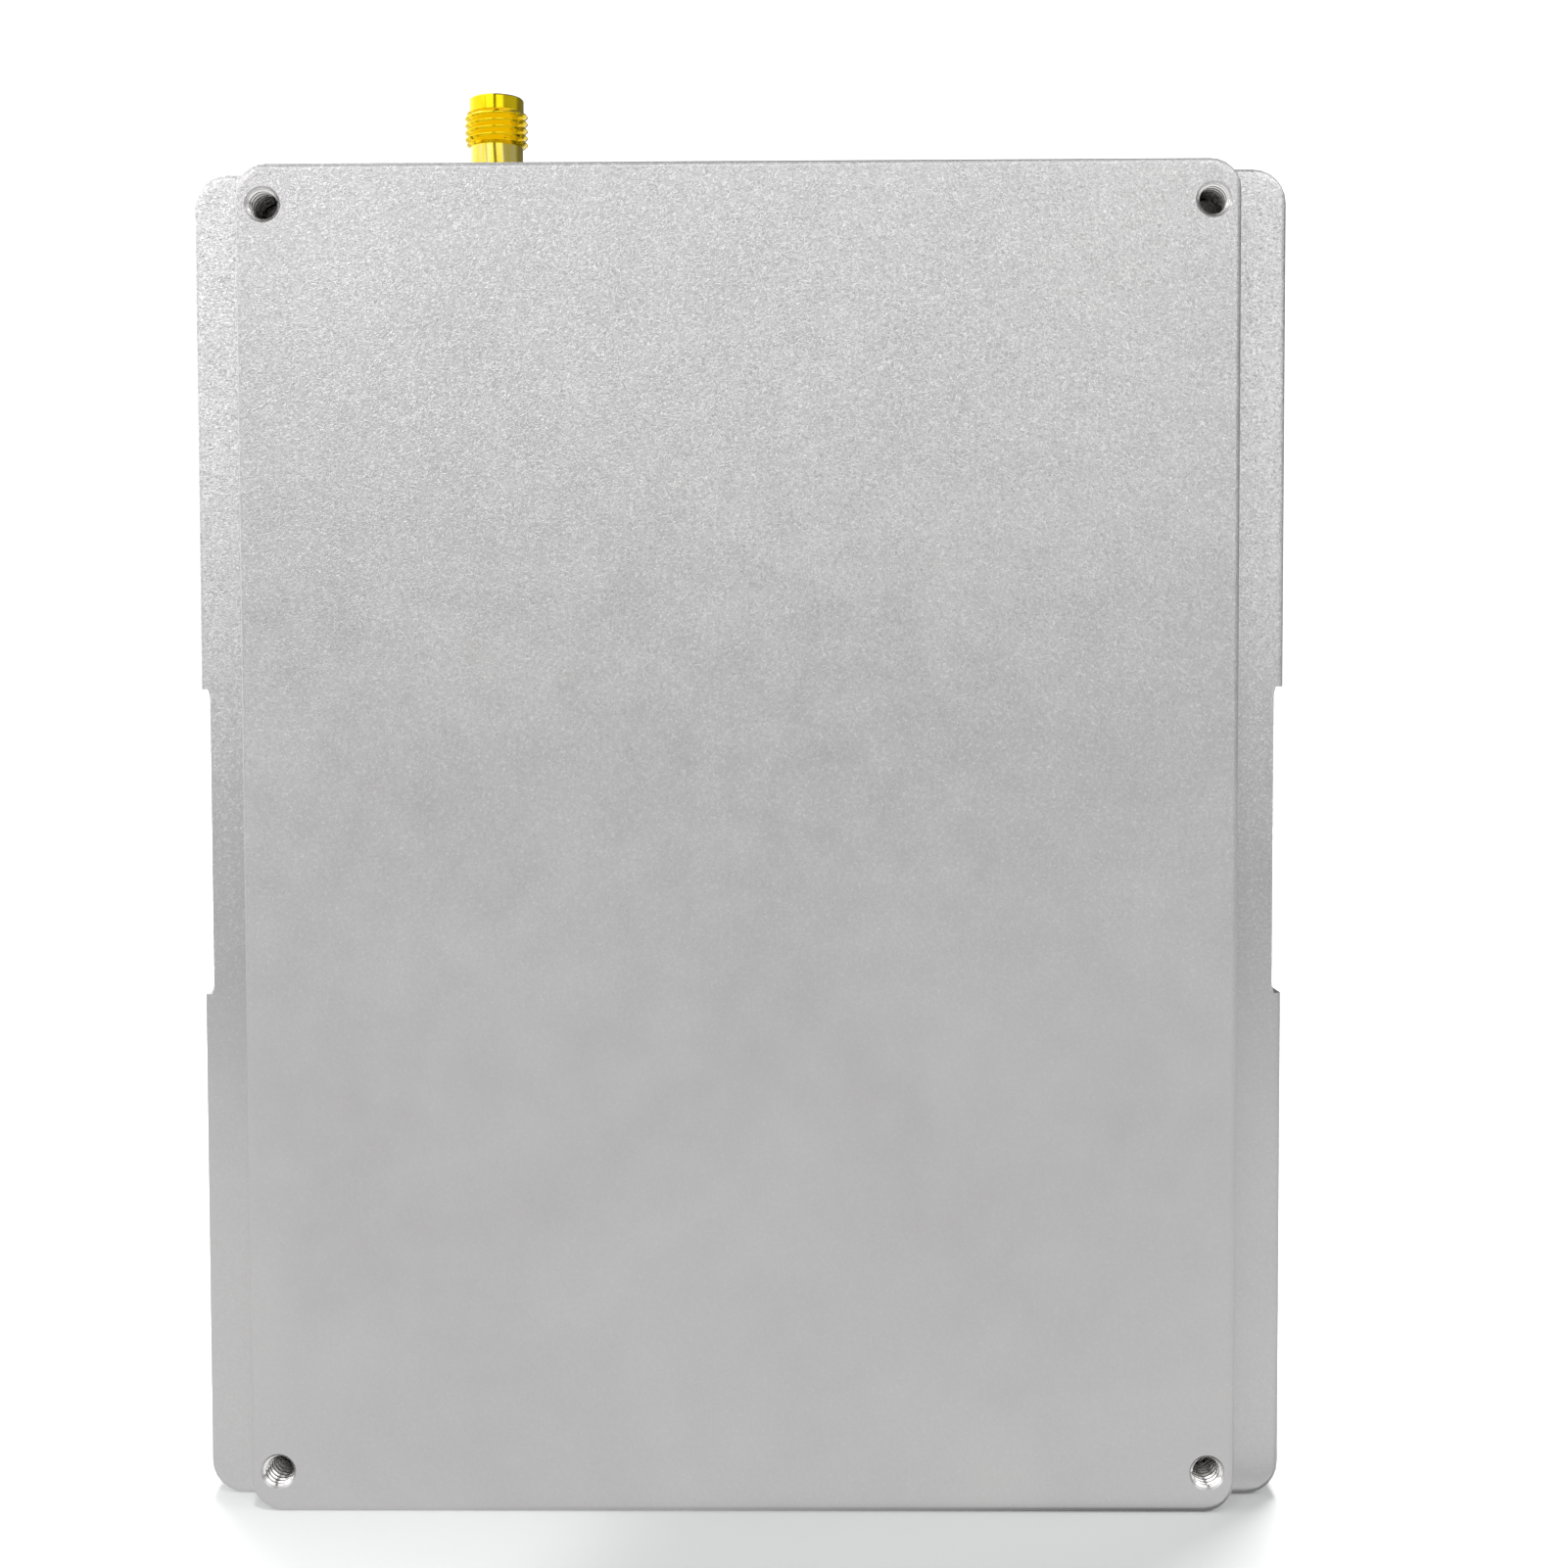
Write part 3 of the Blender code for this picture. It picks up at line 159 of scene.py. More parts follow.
# Plastics, rubber and ceramic, by material slot
PLASTICS = {
    "radome": {
        "name": "radome_plastic",
        "tones": ((0.335, 0.335, 0.328), (0.355, 0.355, 0.348)),
        "worn_tone": (0.47, 0.47, 0.46),
        "rough": 0.42,
        "grain_mm": 3.2,
        "depth_mm": 0.035,
    },
    "gasket": {
        "name": "gasket_rubber",
        "tones": ((0.012, 0.012, 0.013), (0.03, 0.03, 0.03)),
        "rough": 0.62,
        "grain_mm": 3.0,
        "depth_mm": 0.012,
    },
    "ptfe": {
        "name": "ptfe_white",
        "tones": ((0.80, 0.80, 0.78), (0.88, 0.88, 0.86)),
        "rough": 0.5,
        "grain_mm": 4.0,
        "depth_mm": 0.004,
        "Subsurface_Weight": 0.15,
        "Subsurface_Scale": 0.0005,
    },
    "black_plastic": {
        "name": "black_plastic",
        "tones": ((0.014, 0.014, 0.015), (0.028, 0.028, 0.029)),
        "worn_tone": (0.07, 0.07, 0.07),
        "rough": 0.4,
        "grain_mm": 3.0,
        "depth_mm": 0.01,
    },
    "ceramic": {
        "name": "ceramic_block",
        "tones": ((0.46, 0.42, 0.35), (0.56, 0.52, 0.45)),
        "rough": 0.55,
        "grain_mm": 2.5,
        "depth_mm": 0.015,
    },
    "chip": {
        "name": "chip_epoxy",
        "tones": ((0.016, 0.016, 0.017), (0.03, 0.03, 0.031)),
        "rough": 0.5,
        "grain_mm": 5.0,
        "depth_mm": 0.006,
    },
    "thermal_pad": {
        "name": "thermal_pad",
        "tones": ((0.16, 0.2, 0.27), (0.22, 0.27, 0.34)),
        "rough": 0.7,
        "grain_mm": 1.5,
        "depth_mm": 0.02,
    },
    "led": {
        "name": "led_lens",
        "tones": ((0.72, 0.74, 0.66), (0.82, 0.84, 0.76)),
        "rough": 0.25,
        "grain_mm": 5.0,
        "depth_mm": 0.003,
        "Transmission_Weight": 0.3,
    },
    "cable": {
        "name": "cable_jacket",
        "tones": ((0.10, 0.05, 0.025), (0.17, 0.09, 0.045)),
        "rough": 0.35,
        "grain_mm": 2.0,
        "depth_mm": 0.006,
    },
}

# Plain metals, by material slot
METALS = {
    "black_screw": {
        "name": "black_oxide_steel",
        "tones": ((0.025, 0.025, 0.028), (0.05, 0.05, 0.052)),
        "worn_tone": (0.35, 0.34, 0.33),
        "rough": 0.38,
        "grain_mm": 5.0,
        "depth_mm": 0.004,
    },
    "plain_screw": {
        "name": "stainless_steel",
        "tones": ((0.52, 0.51, 0.5), (0.66, 0.65, 0.63)),
        "rough": 0.28,
        "grain_mm": 6.0,
        "depth_mm": 0.002,
    },
    "nickel_contact": {
        "name": "nickel_plate",
        "tones": ((0.55, 0.53, 0.48), (0.68, 0.66, 0.6)),
        "rough": 0.22,
        "grain_mm": 6.0,
        "depth_mm": 0.002,
    },
    "shield": {
        "name": "tinned_shield",
        "tones": ((0.48, 0.48, 0.47), (0.62, 0.62, 0.6)),
        "rough": 0.34,
        "grain_mm": 3.0,
        "depth_mm": 0.006,
    },
    "plate_aluminium": {
        "name": "plate_aluminium",
        "tones": ((0.7, 0.7, 0.7), (0.8, 0.8, 0.8)),
        "rough": 0.3,
        "grain_mm": 2.0,
        "depth_mm": 0.006,
    },
    "plate_brass": {
        "name": "plate_brass",
        "tones": ((0.62, 0.45, 0.16), (0.74, 0.55, 0.22)),
        "rough": 0.26,
        "grain_mm": 3.0,
        "depth_mm": 0.004,
    },
}


class Graph:
    """Adds nodes to one shader tree."""

    def __init__(self, tree):
        self.tree = tree
        tree.nodes.clear()

    def add(self, kind, inputs=None, **settings):
        node = self.tree.nodes.new("ShaderNode" + kind)
        for name, value in settings.items():
            setattr(node, name, value)
        for key, value in (inputs or {}).items():
            if isinstance(value, bpy.types.NodeSocket):
                self.tree.links.new(value, node.inputs[key])
            else:
                node.inputs[key].default_value = value
        return node

    def maths(self, operation, a, b=0.0):
        return self.add("Math", {0: a, 1: b}, operation=operation).outputs[0]

    def times(self, a, b):
        return self.maths("MULTIPLY", a, b)

    def distance(self, a, b):
        return self.maths("ABSOLUTE", self.maths("SUBTRACT", a, b))

    def fade(self, value, band, start=0.0, stop=1.0):
        """Goes from start to stop while the value goes along the band."""
        inputs = {0: value, 1: band[0], 2: band[1], 3: start, 4: stop}
        return self.add("MapRange", inputs, clamp=True).outputs[0]

    def mix(self, share, a, b):
        node = self.add("Mix", {0: share}, data_type="RGBA")
        for index, value in ((6, a), (7, b)):
            if isinstance(value, bpy.types.NodeSocket):
                self.tree.links.new(value, node.inputs[index])
            else:
                node.inputs[index].default_value = (*value, 1.0)
        return node.outputs[2]

    def place_mm(self):
        """The place on the piece in millimetres."""
        where = self.add("TexCoord").outputs["Object"]
        return self.add("VectorMath", {0: where, 3: 1 / MM}, operation="SCALE").outputs[0]

    def axes(self, vector):
        return self.add("SeparateXYZ", {0: vector}).outputs

    def noise(self, place, per_mm, detail=2.0, roughness=0.5, distortion=0.0):
        inputs = {
            "Vector": place,
            "Scale": per_mm,
            "Detail": detail,
            "Roughness": roughness,
            "Distortion": distortion,
        }
        return self.add("TexNoise", inputs).outputs[0]

    def bump(self, height, depth_mm, strength=1.0, normal=None):
        inputs = {"Height": height, "Distance": depth_mm * MM, "Strength": strength}
        if normal is not None:
            inputs["Normal"] = normal
        return self.add("Bump", inputs).outputs[0]

    def edges(self, width_mm, band=(0.02, 0.25)):
        """1 on outer and inner edges, 0 on flats."""
        soft = self.add("Bevel", {"Radius": width_mm * MM}, samples=6).outputs[0]
        true = self.add("NewGeometry").outputs["Normal"]
        same = self.add("VectorMath", {0: soft, 1: true}, operation="DOT_PRODUCT").outputs["Value"]
        return self.fade(self.maths("SUBTRACT", 1.0, same), band)

    def worn(self, place, width_mm, per_mm=1.2, band=(0.42, 0.6)):
        """Uneven wear along the edges."""
        return self.times(self.edges(width_mm), self.fade(self.noise(place, per_mm, 3.0), band))

    def surface(self, **inputs):
        named = {name.replace("_", " "): value for name, value in inputs.items()}
        shader = self.add("BsdfPrincipled", named).outputs[0]
        self.add("OutputMaterial", {"Surface": shader})
        return shader


def material(name):
    made = bpy.data.materials.new(name)
    made.use_nodes = True
    return made, Graph(made.node_tree)


def hole_distance(g, x, z):
    """Distance in mm to the nearest tapped hole's axis."""
    low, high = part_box("rear_housing")
    half_x = (high.x - HOLE_SIDE_INSET) / MM
    half_z = ((high.z - low.z) / 2 - HOLE_END_INSET) / MM
    middle_z = (high.z + low.z) / 2 / MM
    from_x = g.maths("SUBTRACT", g.maths("ABSOLUTE", x), half_x)
    from_z = g.maths("SUBTRACT", g.distance(z, middle_z), half_z)
    squared = g.maths("ADD", g.times(from_x, from_x), g.times(from_z, from_z))
    return g.maths("SQRT", squared)


def housing_tone(g, patches, clouds, axes, shoulder):
    """Slow changes of tone over the housing, with painted light high on the shoulder and high up towards
    -X, and painted shade across the shoulder's middle height.
    """
    colour = g.mix(g.fade(clouds, (0.35, 0.65)), *CLOUD_TONES)
    colour = g.mix(g.fade(patches, (0.3, 0.7), 0.0, 0.35), colour, PATCH_TONE)
    # Painted light: the shoulder grows lighter towards its top.
    painted_upper_light = g.times(shoulder, g.fade(axes["Z"], UPPER_SHOULDER_BAND_MM, 0.1, 0.6))
    colour = g.mix(painted_upper_light, colour, UPPER_SHOULDER_PAINTED_LIGHT_TONE)
    # Painted shade: the shoulder darkens in a band about its middle height.
    from_waist = g.distance(axes["Z"], WAIST_HEIGHT_MM)
    painted_waist_shade = g.times(shoulder, g.fade(from_waist, WAIST_BAND_MM, 0.5, 0.0))
    colour = g.mix(painted_waist_shade, colour, WAIST_PAINTED_SHADE_TONE)
    # Painted light: the housing grows lighter high up towards -X.
    across = g.fade(axes["X"], CORNER_WIDTH_BAND_MM, 0.0, 0.3)
    painted_corner_light = g.times(g.fade(axes["Z"], CORNER_HEIGHT_BAND_MM), across)
    return g.mix(painted_corner_light, colour, UPPER_CORNER_PAINTED_LIGHT_TONE)


def housing_finish(name):
    """Bead-blasted, clear-anodised aluminium with raw metal in the tapped holes, painted shade deep in
    the holes and their thread roots, and painted glints in the grain.
    """
    made, g = material(name)
    place = g.place_mm()
    clouds = g.noise(place, 0.035, 3.0, 0.55, 0.4)
    patches = g.noise(place, 0.22, 4.0, 0.6)
    grain = g.noise(place, 4.2, 1.5, 0.5, 1.2)
    axes = g.axes(place)
    shoulder = g.fade(axes["Y"], SHOULDER_BAND_MM)
    # The speckles are the blasted grain; their contrast growing towards the top and on the shoulder is
    # painted glints and painted shade, while the bump is real relief.
    coarse_grain_and_glint = g.fade(axes["Z"], COARSE_GRAIN_AND_GLINT_BAND_MM, 0.12, 1.0)
    coarse_grain_and_glint = g.times(coarse_grain_and_glint, g.fade(shoulder, (0.0, 1.0), 1.0, 1.4))
    colour = housing_tone(g, patches, clouds, axes, shoulder)
    bright = g.times(g.fade(grain, (0.52, 0.74), 0.0, 0.75), coarse_grain_and_glint)
    dark = g.times(g.fade(grain, (0.48, 0.28), 0.0, 0.55), coarse_grain_and_glint)
    colour = g.mix(dark, colour, GRAIN_AND_SHADE_DARK_TONE)
    colour = g.mix(bright, colour, GRAIN_AND_GLINT_BRIGHT_TONE)
    colour = g.mix(g.times(g.worn(place, 0.25), 0.7), colour, WORN_TONE)
    from_axis = hole_distance(g, axes["X"], axes["Z"])
    raw = g.fade(from_axis, RAW_BAND_MM)
    depth = g.maths("SUBTRACT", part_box("rear_housing")[1].y / MM, axes["Y"])
    # Painted shade in the tapped holes: the raw metal darkens with depth, sooner in the holes near the
    # top.
    hole_shade_band = [
        g.fade(axes["Z"], HOLE_SHADE_HEIGHT_BAND_MM, low, high)
        for low, high in zip(LOW_HOLE_SHADE_DEPTH_BAND_MM, HIGH_HOLE_SHADE_DEPTH_BAND_MM)
    ]
    bare_and_shade = g.mix(g.fade(depth, hole_shade_band), *BARE_METAL_AND_HOLE_SHADE_TONES)
    # Painted shade: the thread roots turn near black below the hole's entry.
    in_groove = g.fade(depth, GROOVE_DEPTH_BAND_MM, 0.0, 0.9)
    bare_and_shade = g.mix(g.times(g.fade(from_axis, GROOVE_RADIUS_BAND_MM), in_groove), bare_and_shade, GROOVE_PAINTED_SHADE_TONE)
    colour = g.mix(raw, colour, bare_and_shade)
    rough = g.fade(patches, (0.3, 0.7), 0.34, 0.42)
    rough = g.maths("SUBTRACT", rough, g.times(raw, 0.22))
    blasted = g.bump(grain, BLAST_DEPTH_MM, coarse_grain_and_glint)
    blasted = g.bump(g.noise(place, 0.9, 2.0), WAVE_DEPTH_MM, 1.0, blasted)
    g.surface(Base_Color=colour, Metallic=1.0, Roughness=rough, Normal=blasted)
    return made


def metal_finish(name, tones, rough, grain_mm, depth_mm, worn_tone=None):
    """Plain metal with cloudy colour, uneven polish and brighter edges."""
    made, g = material(name)
    place = g.place_mm()
    colour = g.mix(g.fade(g.noise(place, 0.5, 4.0, 0.6), (0.3, 0.7)), *tones)
    colour = g.mix(g.worn(place, 0.12, 3.0), colour, worn_tone or tones[1])
    polish = g.fade(g.noise(place, 1.7, 3.0), (0.3, 0.7), rough * 0.8, rough * 1.25)
    normal = g.bump(g.noise(place, grain_mm, 3.0), depth_mm)
    g.surface(Base_Color=colour, Metallic=1.0, Roughness=polish, Normal=normal)
    return made


def gold_finish(name):
    """Gold plate: rich on rim and thread, with painted shade and reflection in olive-grey streaks on the
    port's neck.
    """
    made, g = material(name)
    place = g.place_mm()
    colour = g.mix(g.fade(g.noise(place, 0.9, 4.0, 0.6), (0.3, 0.7)), *GOLD_TONES)
    height = g.axes(place)["Z"]
    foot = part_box("sma_shell")[1].z / MM - PORT_THREAD_FOOT_MM
    top = foot + PORT_THREAD_RISE_MM
    tall = g.add("Mapping", {"Vector": place, "Scale": (1.0, 1.0, 0.05)}).outputs[0]
    streak = g.fade(g.noise(tall, 1.6, 2.0), (0.35, 0.65), 0.1, 1.0)
    # Painted shade and reflection: streaks of olive-grey on the neck below the thread.
    neck = g.times(g.fade(height, (foot, foot - PORT_NECK_FADE_MM)), streak)
    colour = g.mix(neck, colour, NECK_PAINTED_SHADE_TONE)
    above = g.fade(height, (foot - PORT_THREAD_FADE_MM, foot + PORT_THREAD_FADE_MM))
    below = g.fade(height, (top + PORT_THREAD_FADE_MM, top - PORT_THREAD_FADE_MM))
    colour = g.mix(g.times(above, below), colour, THREAD_TONE)
    colour = g.mix(g.times(g.worn(place, 0.08, 3.0), 0.5), colour, GOLD_WORN_TONE)
    polish = g.fade(g.noise(place, 1.7, 3.0), (0.3, 0.7), 0.09, 0.15)
    normal = g.bump(g.noise(place, 5.0, 2.0), 0.0006)
    g.surface(Base_Color=colour, Metallic=1.0, Roughness=polish, Normal=normal)
    return made


def plastic_finish(name, tones, rough, grain_mm, depth_mm, worn_tone=None, **more):
    """Moulded plastic, rubber or ceramic with a fine texture and rubbed edges."""
    made, g = material(name)
    place = g.place_mm()
    colour = g.mix(g.fade(g.noise(place, 0.06, 4.0, 0.6), (0.3, 0.7)), *tones)
    colour = g.mix(g.times(g.worn(place, 0.2, 2.0), 0.5), colour, worn_tone or tones[1])
    uneven = g.fade(g.noise(place, 0.8, 3.0), (0.3, 0.7), rough * 0.88, rough * 1.12)
    normal = g.bump(g.noise(place, grain_mm, 3.0, 0.6), depth_mm)
    g.surface(Base_Color=colour, Roughness=uneven, Normal=normal, **more)
    return made


def board_finish(name):
    """Green solder mask over copper tracks, which run along X or Z block by block."""
    made, g = material(name)
    place = g.place_mm()
    inputs = {"Vector": place, "Scale": 0.42, "Randomness": 0.0}
    blocks = g.add("TexVoronoi", inputs, feature="F1", distance="CHEBYCHEV").outputs["Color"]
    turn = g.add("SeparateColor", {0: blocks}).outputs[0]
    axes = g.axes(place)
    along = g.maths("GREATER_THAN", turn, 0.5)
    lane_x = g.times(g.maths("PINGPONG", axes["X"], TRACK_HALF_PITCH_MM), along)
    other = g.maths("SUBTRACT", 1.0, along)
    lane_z = g.times(g.maths("PINGPONG", axes["Z"], TRACK_HALF_PITCH_MM), other)
    track = g.fade(g.maths("ADD", lane_x, lane_z), TRACK_EDGE_BAND_MM)
    track = g.times(track, g.maths("GREATER_THAN", g.noise(place, 0.12, 1.0), 0.5))
    colour = g.mix(track, MASK_TONE, TRACK_TONE)
    cloud = g.fade(g.noise(place, 0.7, 3.0), (0.4, 0.7), 0.0, 0.3)
    colour = g.mix(cloud, colour, MASK_CLOUD_TONE)
    rough = g.fade(g.noise(place, 2.0, 2.0), (0.3, 0.7), 0.28, 0.4)
    g.surface(Base_Color=colour, Roughness=rough, Normal=g.bump(track, 0.03), Coat_Weight=0.3)
    return made


def clear_finish(name):
    """Frosted clear polycarbonate light pipe."""
    made, g = material(name)
    place = g.place_mm()
    tint = g.mix(g.fade(g.noise(place, 1.5, 2.0), (0.3, 0.7)), *PIPE_TONES)
    rough = g.fade(g.noise(place, 4.0, 2.0), (0.3, 0.7), 0.16, 0.3)
    normal = g.bump(g.noise(place, 6.0, 2.0), 0.004)
    g.surface(
        Base_Color=tint,
        Roughness=rough,
        Transmission_Weight=0.75,
        IOR=1.58,
        Normal=normal,
    )
    return made


def finishes():
    """The material of every slot."""
    made = {
        "housing": housing_finish("housing_aluminium"),
        "gold_contact": gold_finish("gold_plate"),
        "circuit_board": board_finish("circuit_board"),
        "clear_plastic": clear_finish("clear_plastic"),
    }
    made.update({slot: plastic_finish(**look) for slot, look in PLASTICS.items()})
    made.update({slot: metal_finish(**look) for slot, look in METALS.items()})
    return made


def smoothing_group():
    """Node group that shades a mesh smooth and keeps edges above the smoothing angle sharp."""
    group = bpy.data.node_groups.new("smooth_by_angle", "GeometryNodeTree")
    group.interface.new_socket("Geometry", in_out="INPUT", socket_type="NodeSocketGeometry")
    group.interface.new_socket("Geometry", in_out="OUTPUT", socket_type="NodeSocketGeometry")
    nodes, links = group.nodes, group.links
    start = nodes.new("NodeGroupInput")
    stop = nodes.new("NodeGroupOutput")
    faces = nodes.new("GeometryNodeSetShadeSmooth")
    faces.domain = "FACE"
    faces.inputs["Shade Smooth"].default_value = True
    angle = nodes.new("GeometryNodeInputMeshEdgeAngle")
    sharp = nodes.new("FunctionNodeCompare")
    sharp.operation = "GREATER_THAN"
    sharp.inputs[1].default_value = SMOOTH_ANGLE
    edges = nodes.new("GeometryNodeSetShadeSmooth")
    edges.domain = "EDGE"
    edges.inputs["Shade Smooth"].default_value = False
    links.new(start.outputs[0], faces.inputs["Geometry"])
    links.new(angle.outputs["Unsigned Angle"], sharp.inputs[0])
    links.new(faces.outputs[0], edges.inputs["Geometry"])
    links.new(sharp.outputs[0], edges.inputs["Selection"])
    links.new(edges.outputs[0], stop.inputs[0])
    return group


def smooth(piece, group, cutter=None):
    """Welds the piece, cuts it when there is a cutter, and gives it rounded shading."""
    weld = piece.modifiers.new("weld", "WELD")
    weld.merge_threshold = WELD_DISTANCE
    if cutter is not None:
        cut = piece.modifiers.new("threads", "BOOLEAN")
        cut.object = cutter
        cut.operation = "DIFFERENCE"
        cut.solver = "EXACT"
    shade = piece.modifiers.new("smooth", "NODES")
    shade.node_group = group
    weight = piece.modifiers.new("weighted", "WEIGHTED_NORMAL")
    weight.keep_sharp = True
    weight.weight = NORMAL_WEIGHT


def thread_ridge(mesh, x, z, back):
    """Adds one helical ridge along -Y from the back face, for cutting a right-hand thread."""
    section = (
        (THREAD_INNER_RADIUS, -THREAD_HALF_WIDTH),
        (THREAD_ROOT_RADIUS, 0.0),
        (THREAD_INNER_RADIUS, THREAD_HALF_WIDTH),
    )
    turns = (THREAD_STOP - THREAD_START) / THREAD_PITCH
    rows = []
    for step in range(int(turns * THREAD_STEPS) + 1):
        angle = 2 * math.pi * step / THREAD_STEPS
        depth = THREAD_START + THREAD_PITCH * step / THREAD_STEPS
        rows.append([
            mesh.verts.new((
                x + radius * math.cos(angle),
                back - depth - along,
                z + radius * math.sin(angle),
            ))
            for radius, along in section
        ])
    corners = len(section)
    for first, second in zip(rows, rows[1:]):
        for a in range(corners):
            b = (a + 1) % corners
            mesh.faces.new((first[a], first[b], second[b], second[a]))
    mesh.faces.new(rows[0][::-1])
    mesh.faces.new(rows[-1])


def thread_cutter():
    """One hidden object with the thread of all four tapped holes."""
    low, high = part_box("rear_housing")
    mesh = bmesh.new()
    for x in (low.x + HOLE_SIDE_INSET, high.x - HOLE_SIDE_INSET):
        for z in (low.z + HOLE_END_INSET, high.z - HOLE_END_INSET):
            thread_ridge(mesh, x, z, high.y)
    bmesh.ops.recalc_face_normals(mesh, faces=mesh.faces)
    data = bpy.data.meshes.new("thread_cutter")
    mesh.to_mesh(data)
    mesh.free()
    cutter = bpy.data.objects.new("thread_cutter", data)
    bpy.context.scene.collection.objects.link(cutter)
    cutter.hide_render = True
    cutter.hide_viewport = True
    return cutter


def dress_pieces():
    """Gives every CAD node its finish and its shading."""
    surfaces = finishes()
    group = smoothing_group()
    cutter = thread_cutter()
    slots = {part["node"]: part["material_slot"] for part in frame["record"]["subparts"]}
    for name, piece in frame["nodes"].items():
        piece.data.materials.clear()
        piece.data.materials.append(surfaces[slots[name]])
        smooth(piece, group, cutter if name == "rear_housing" else None)


def floor_glow(g, axes):
    """Strength with which the floor shows in the metal, with a painted contact shadow along the booster's
    foot that is deeper towards -X.
    """
    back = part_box("rear_housing")[1].y / MM
    from_platform = g.distance(axes["Y"], back)
    from_shoulder = g.distance(axes["Y"], back - SHOULDER_DEPTH_MM)
    from_foot = g.maths("MINIMUM", from_platform, from_shoulder)
    # Painted contact shadow: the glow fades along the foot, more towards -X.
    contact = g.fade(axes["X"], CONTACT_SHADOW_SIDE_BAND_MM, *CONTACT_SHADOW_GLOWS)
    return g.fade(from_foot, CONTACT_SHADOW_BAND_MM, contact, FLOOR_GLOW)


def build_floor():
    """Plain pale floor under the booster: lit paper to the camera, and to other rays a glow standing in
    for bounced light, with a painted shadow along the foot.
    """
    bpy.ops.mesh.primitive_plane_add(size=FLOOR_SIZE, location=(0.0, 0.0, 0.0))
    floor = bpy.context.object
    floor.name = "floor"
    made, g = material("floor_paper")
    place = g.place_mm()
    tone = g.mix(g.noise(place, 0.01, 2.0), *FLOOR_TONES)
    paper = g.surface(Base_Color=tone, Roughness=0.9, Specular_IOR_Level=0.0)
    glow = floor_glow(g, g.axes(place))
    bounce = g.add("Emission", {"Color": (1.0, 1.0, 1.0, 1.0), "Strength": glow})
    seen = g.add("LightPath").outputs["Is Camera Ray"]
    both = g.add("MixShader", {0: seen, 1: bounce.outputs[0], 2: paper})
    output = next(node for node in g.tree.nodes if node.type == "OUTPUT_MATERIAL")
    g.tree.links.new(both.outputs[0], output.inputs[0])
    floor.data.materials.append(made)


def surround_level(g, axes, glossy):
    """Brightness of the surround: a white studio with a dark strip, a flag and a dim back."""
    rise = g.fade(axes["Z"], RISE_BAND, *RISE_LEVELS)
    overhead = g.fade(glossy, (0.0, 1.0), OVERHEAD_DIFFUSE_DROP, OVERHEAD_GLOSSY_DROP)
    level = g.maths("SUBTRACT", rise, g.times(g.fade(axes["Z"], OVERHEAD_BAND), overhead))
    flag = g.fade(axes["X"], FLAG_BAND, FLAG_LEVEL, 1.0)
    flag = g.maths("MAXIMUM", flag, g.fade(axes["Z"], FLAG_TOP_BAND))
    seam = g.fade(g.distance(axes["X"], SEAM_PLACE), SEAM_BAND, SEAM_LEVEL, 1.0)
    level = g.times(level, g.times(flag, seam))
    behind_left = g.fade(glossy, (0.0, 1.0), BEHIND_DIFFUSE_LEVEL, BEHIND_GLOSSY_LEVEL)
    behind = g.fade(axes["X"], BEHIND_BAND, behind_left, BEHIND_RIGHT_LEVEL)
    share = g.fade(axes["Y"], BEHIND_START_BAND)
    level = g.add("Mix", {0: share, 2: level, 3: behind}, data_type="FLOAT").outputs[0]
    strip = g.fade(g.maths("ABSOLUTE", axes["X"]), STRIP_BAND, STRIP_LEVEL, 1.0)
    return g.times(level, strip)


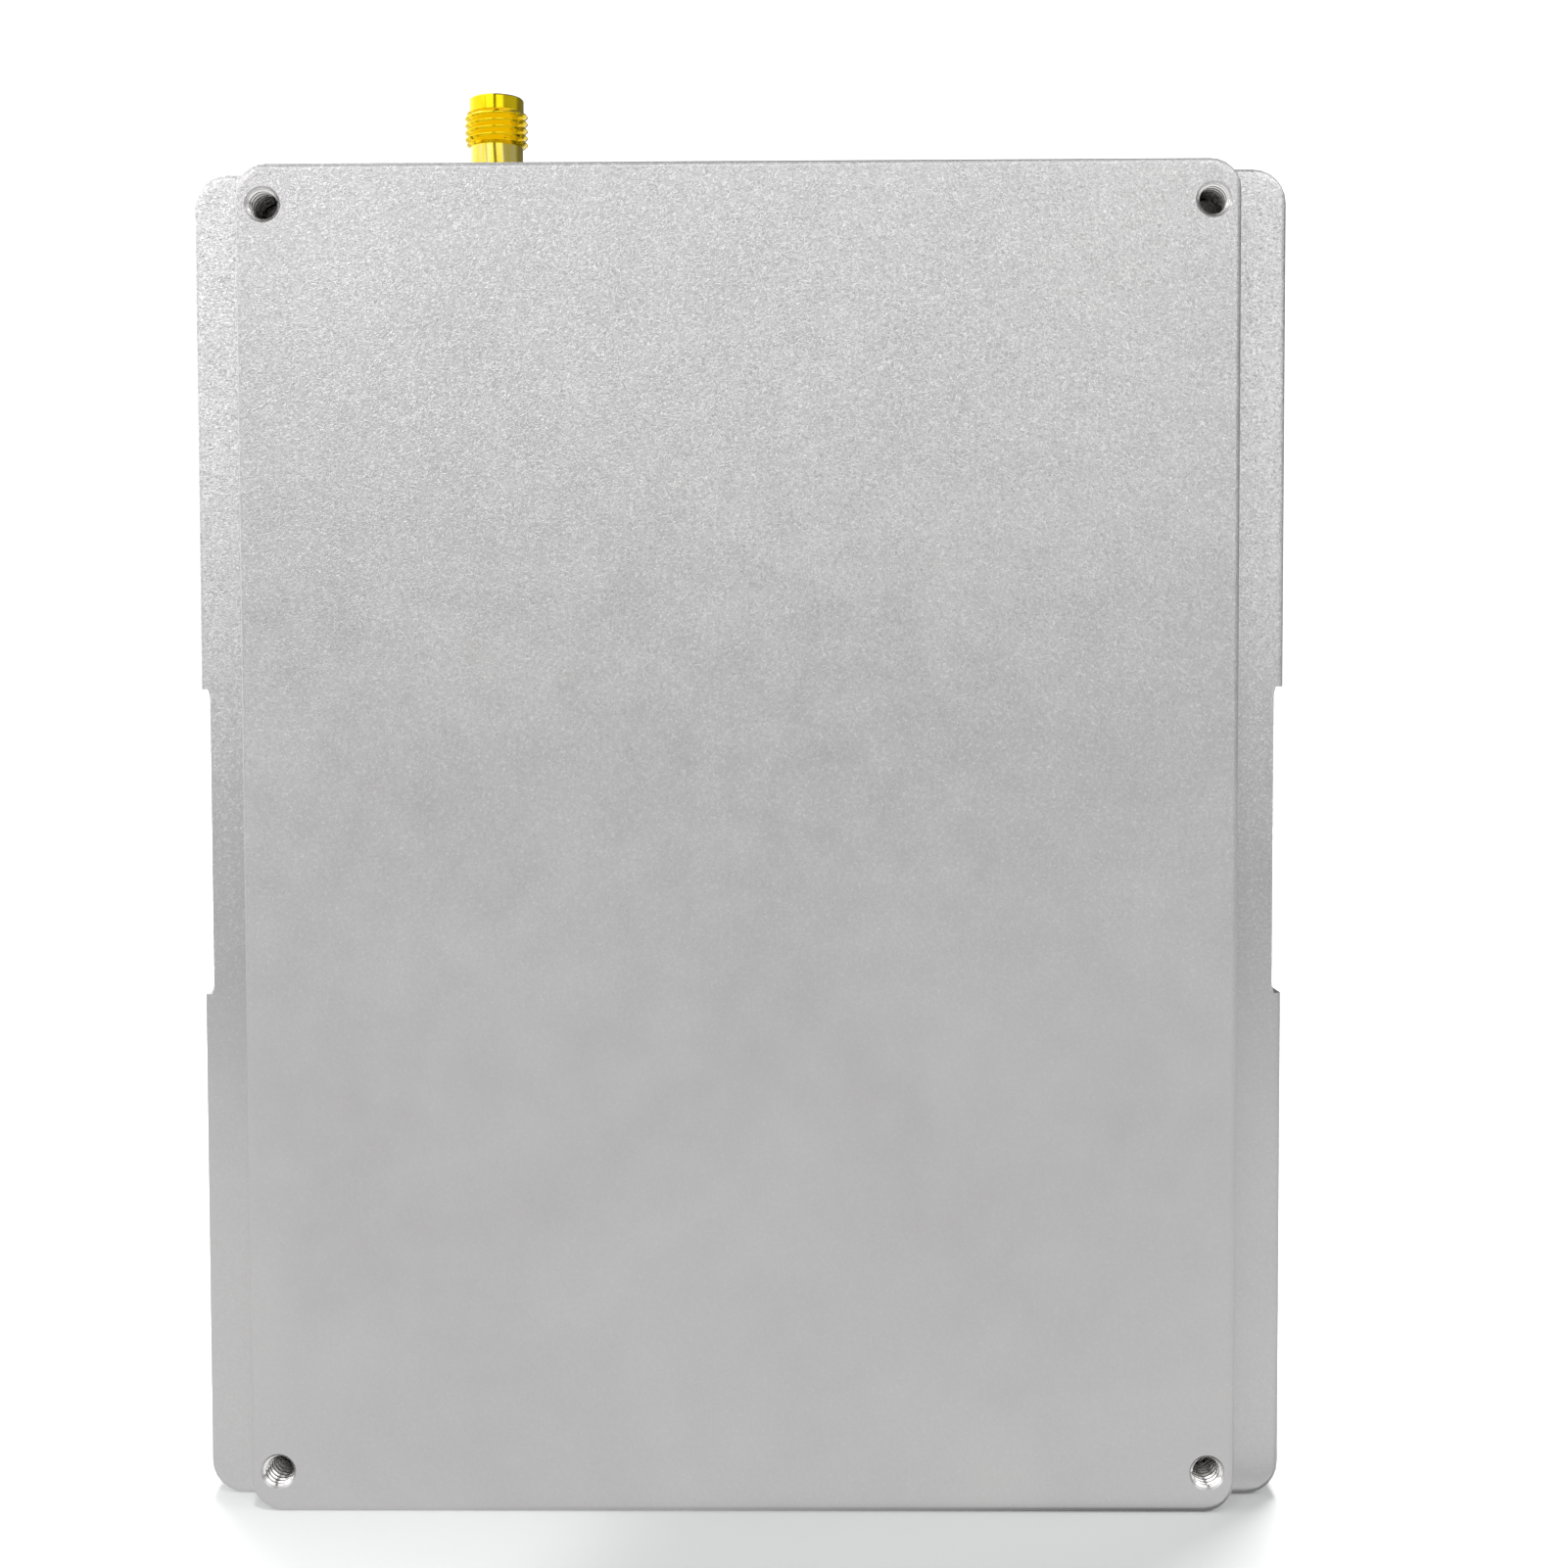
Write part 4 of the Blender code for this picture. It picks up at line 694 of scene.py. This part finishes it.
def build_world():
    """White surround: plain to the camera, shaped for light and reflections."""
    world = bpy.data.worlds.new("studio")
    bpy.context.scene.world = world
    world.use_nodes = True
    g = Graph(world.node_tree)
    axes = g.axes(g.add("TexCoord").outputs["Generated"])
    path = g.add("LightPath").outputs
    camera = path["Is Camera Ray"]
    level = surround_level(g, axes, path["Is Glossy Ray"])
    plain = g.times(camera, CAMERA_WHITE)
    shaped = g.times(g.maths("SUBTRACT", 1.0, camera), level)
    strength = g.maths("ADD", plain, shaped)
    shade = g.add("Background", {"Color": (1.0, 1.0, 1.0, 1.0), "Strength": strength})
    g.add("OutputWorld", {"Surface": shade.outputs[0]})


def lamp(name, kind, energy, place, direction):
    """A lamp at a place, shining along a direction."""
    data = bpy.data.lights.new(name, kind)
    data.energy = energy
    made = bpy.data.objects.new(name, data)
    bpy.context.scene.collection.objects.link(made)
    made.location = place
    made.rotation_euler = direction.to_track_quat("-Z", "Y").to_euler()
    return made


def build_lamps():
    """Soft key from above and in front, a small fill at the foot and a weak softbox behind."""
    key = lamp("key", "SUN", KEY_ENERGY, Vector(), KEY_DIRECTION)
    key.data.angle = KEY_ANGLE
    key.visible_glossy = False
    fill = lamp("side_fill", "SPOT", FILL_ENERGY, FILL_PLACE, FILL_TARGET - FILL_PLACE)
    fill.data.spot_size = FILL_ANGLE
    fill.data.spot_blend = FILL_BLEND
    fill.data.shadow_soft_size = FILL_RADIUS
    fill.visible_glossy = False
    softbox = lamp("back_softbox", "AREA", SOFTBOX_ENERGY, SOFTBOX_PLACE, SOFTBOX_TARGET - SOFTBOX_PLACE)
    softbox.data.shape = "RECTANGLE"
    softbox.data.size, softbox.data.size_y = SOFTBOX_SIZE
    softbox.visible_camera = False


def build_camera():
    """Camera square on to the back, a little above its middle."""
    low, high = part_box("rear_housing")
    centre = Vector(((low.x + high.x) / 2, high.y, (low.z + high.z) / 2))
    data = bpy.data.cameras.new("camera")
    data.lens = CAMERA_LENS
    data.sensor_width = CAMERA_SENSOR
    data.clip_start = CAMERA_NEAR
    camera = bpy.data.objects.new("camera", data)
    bpy.context.scene.collection.objects.link(camera)
    place, aim = centre + CAMERA_PLACE, centre + CAMERA_AIM
    turn = (aim - place).to_track_quat("-Z", "Y").to_matrix().to_4x4()
    camera.matrix_world = Matrix.Translation(place) @ turn @ Matrix.Rotation(CAMERA_ROLL, 4, "Z")
    bpy.context.scene.camera = camera


dress_pieces()
build_floor()
build_world()
build_lamps()
build_camera()
bpy.context.scene.view_settings.view_transform = "Standard"
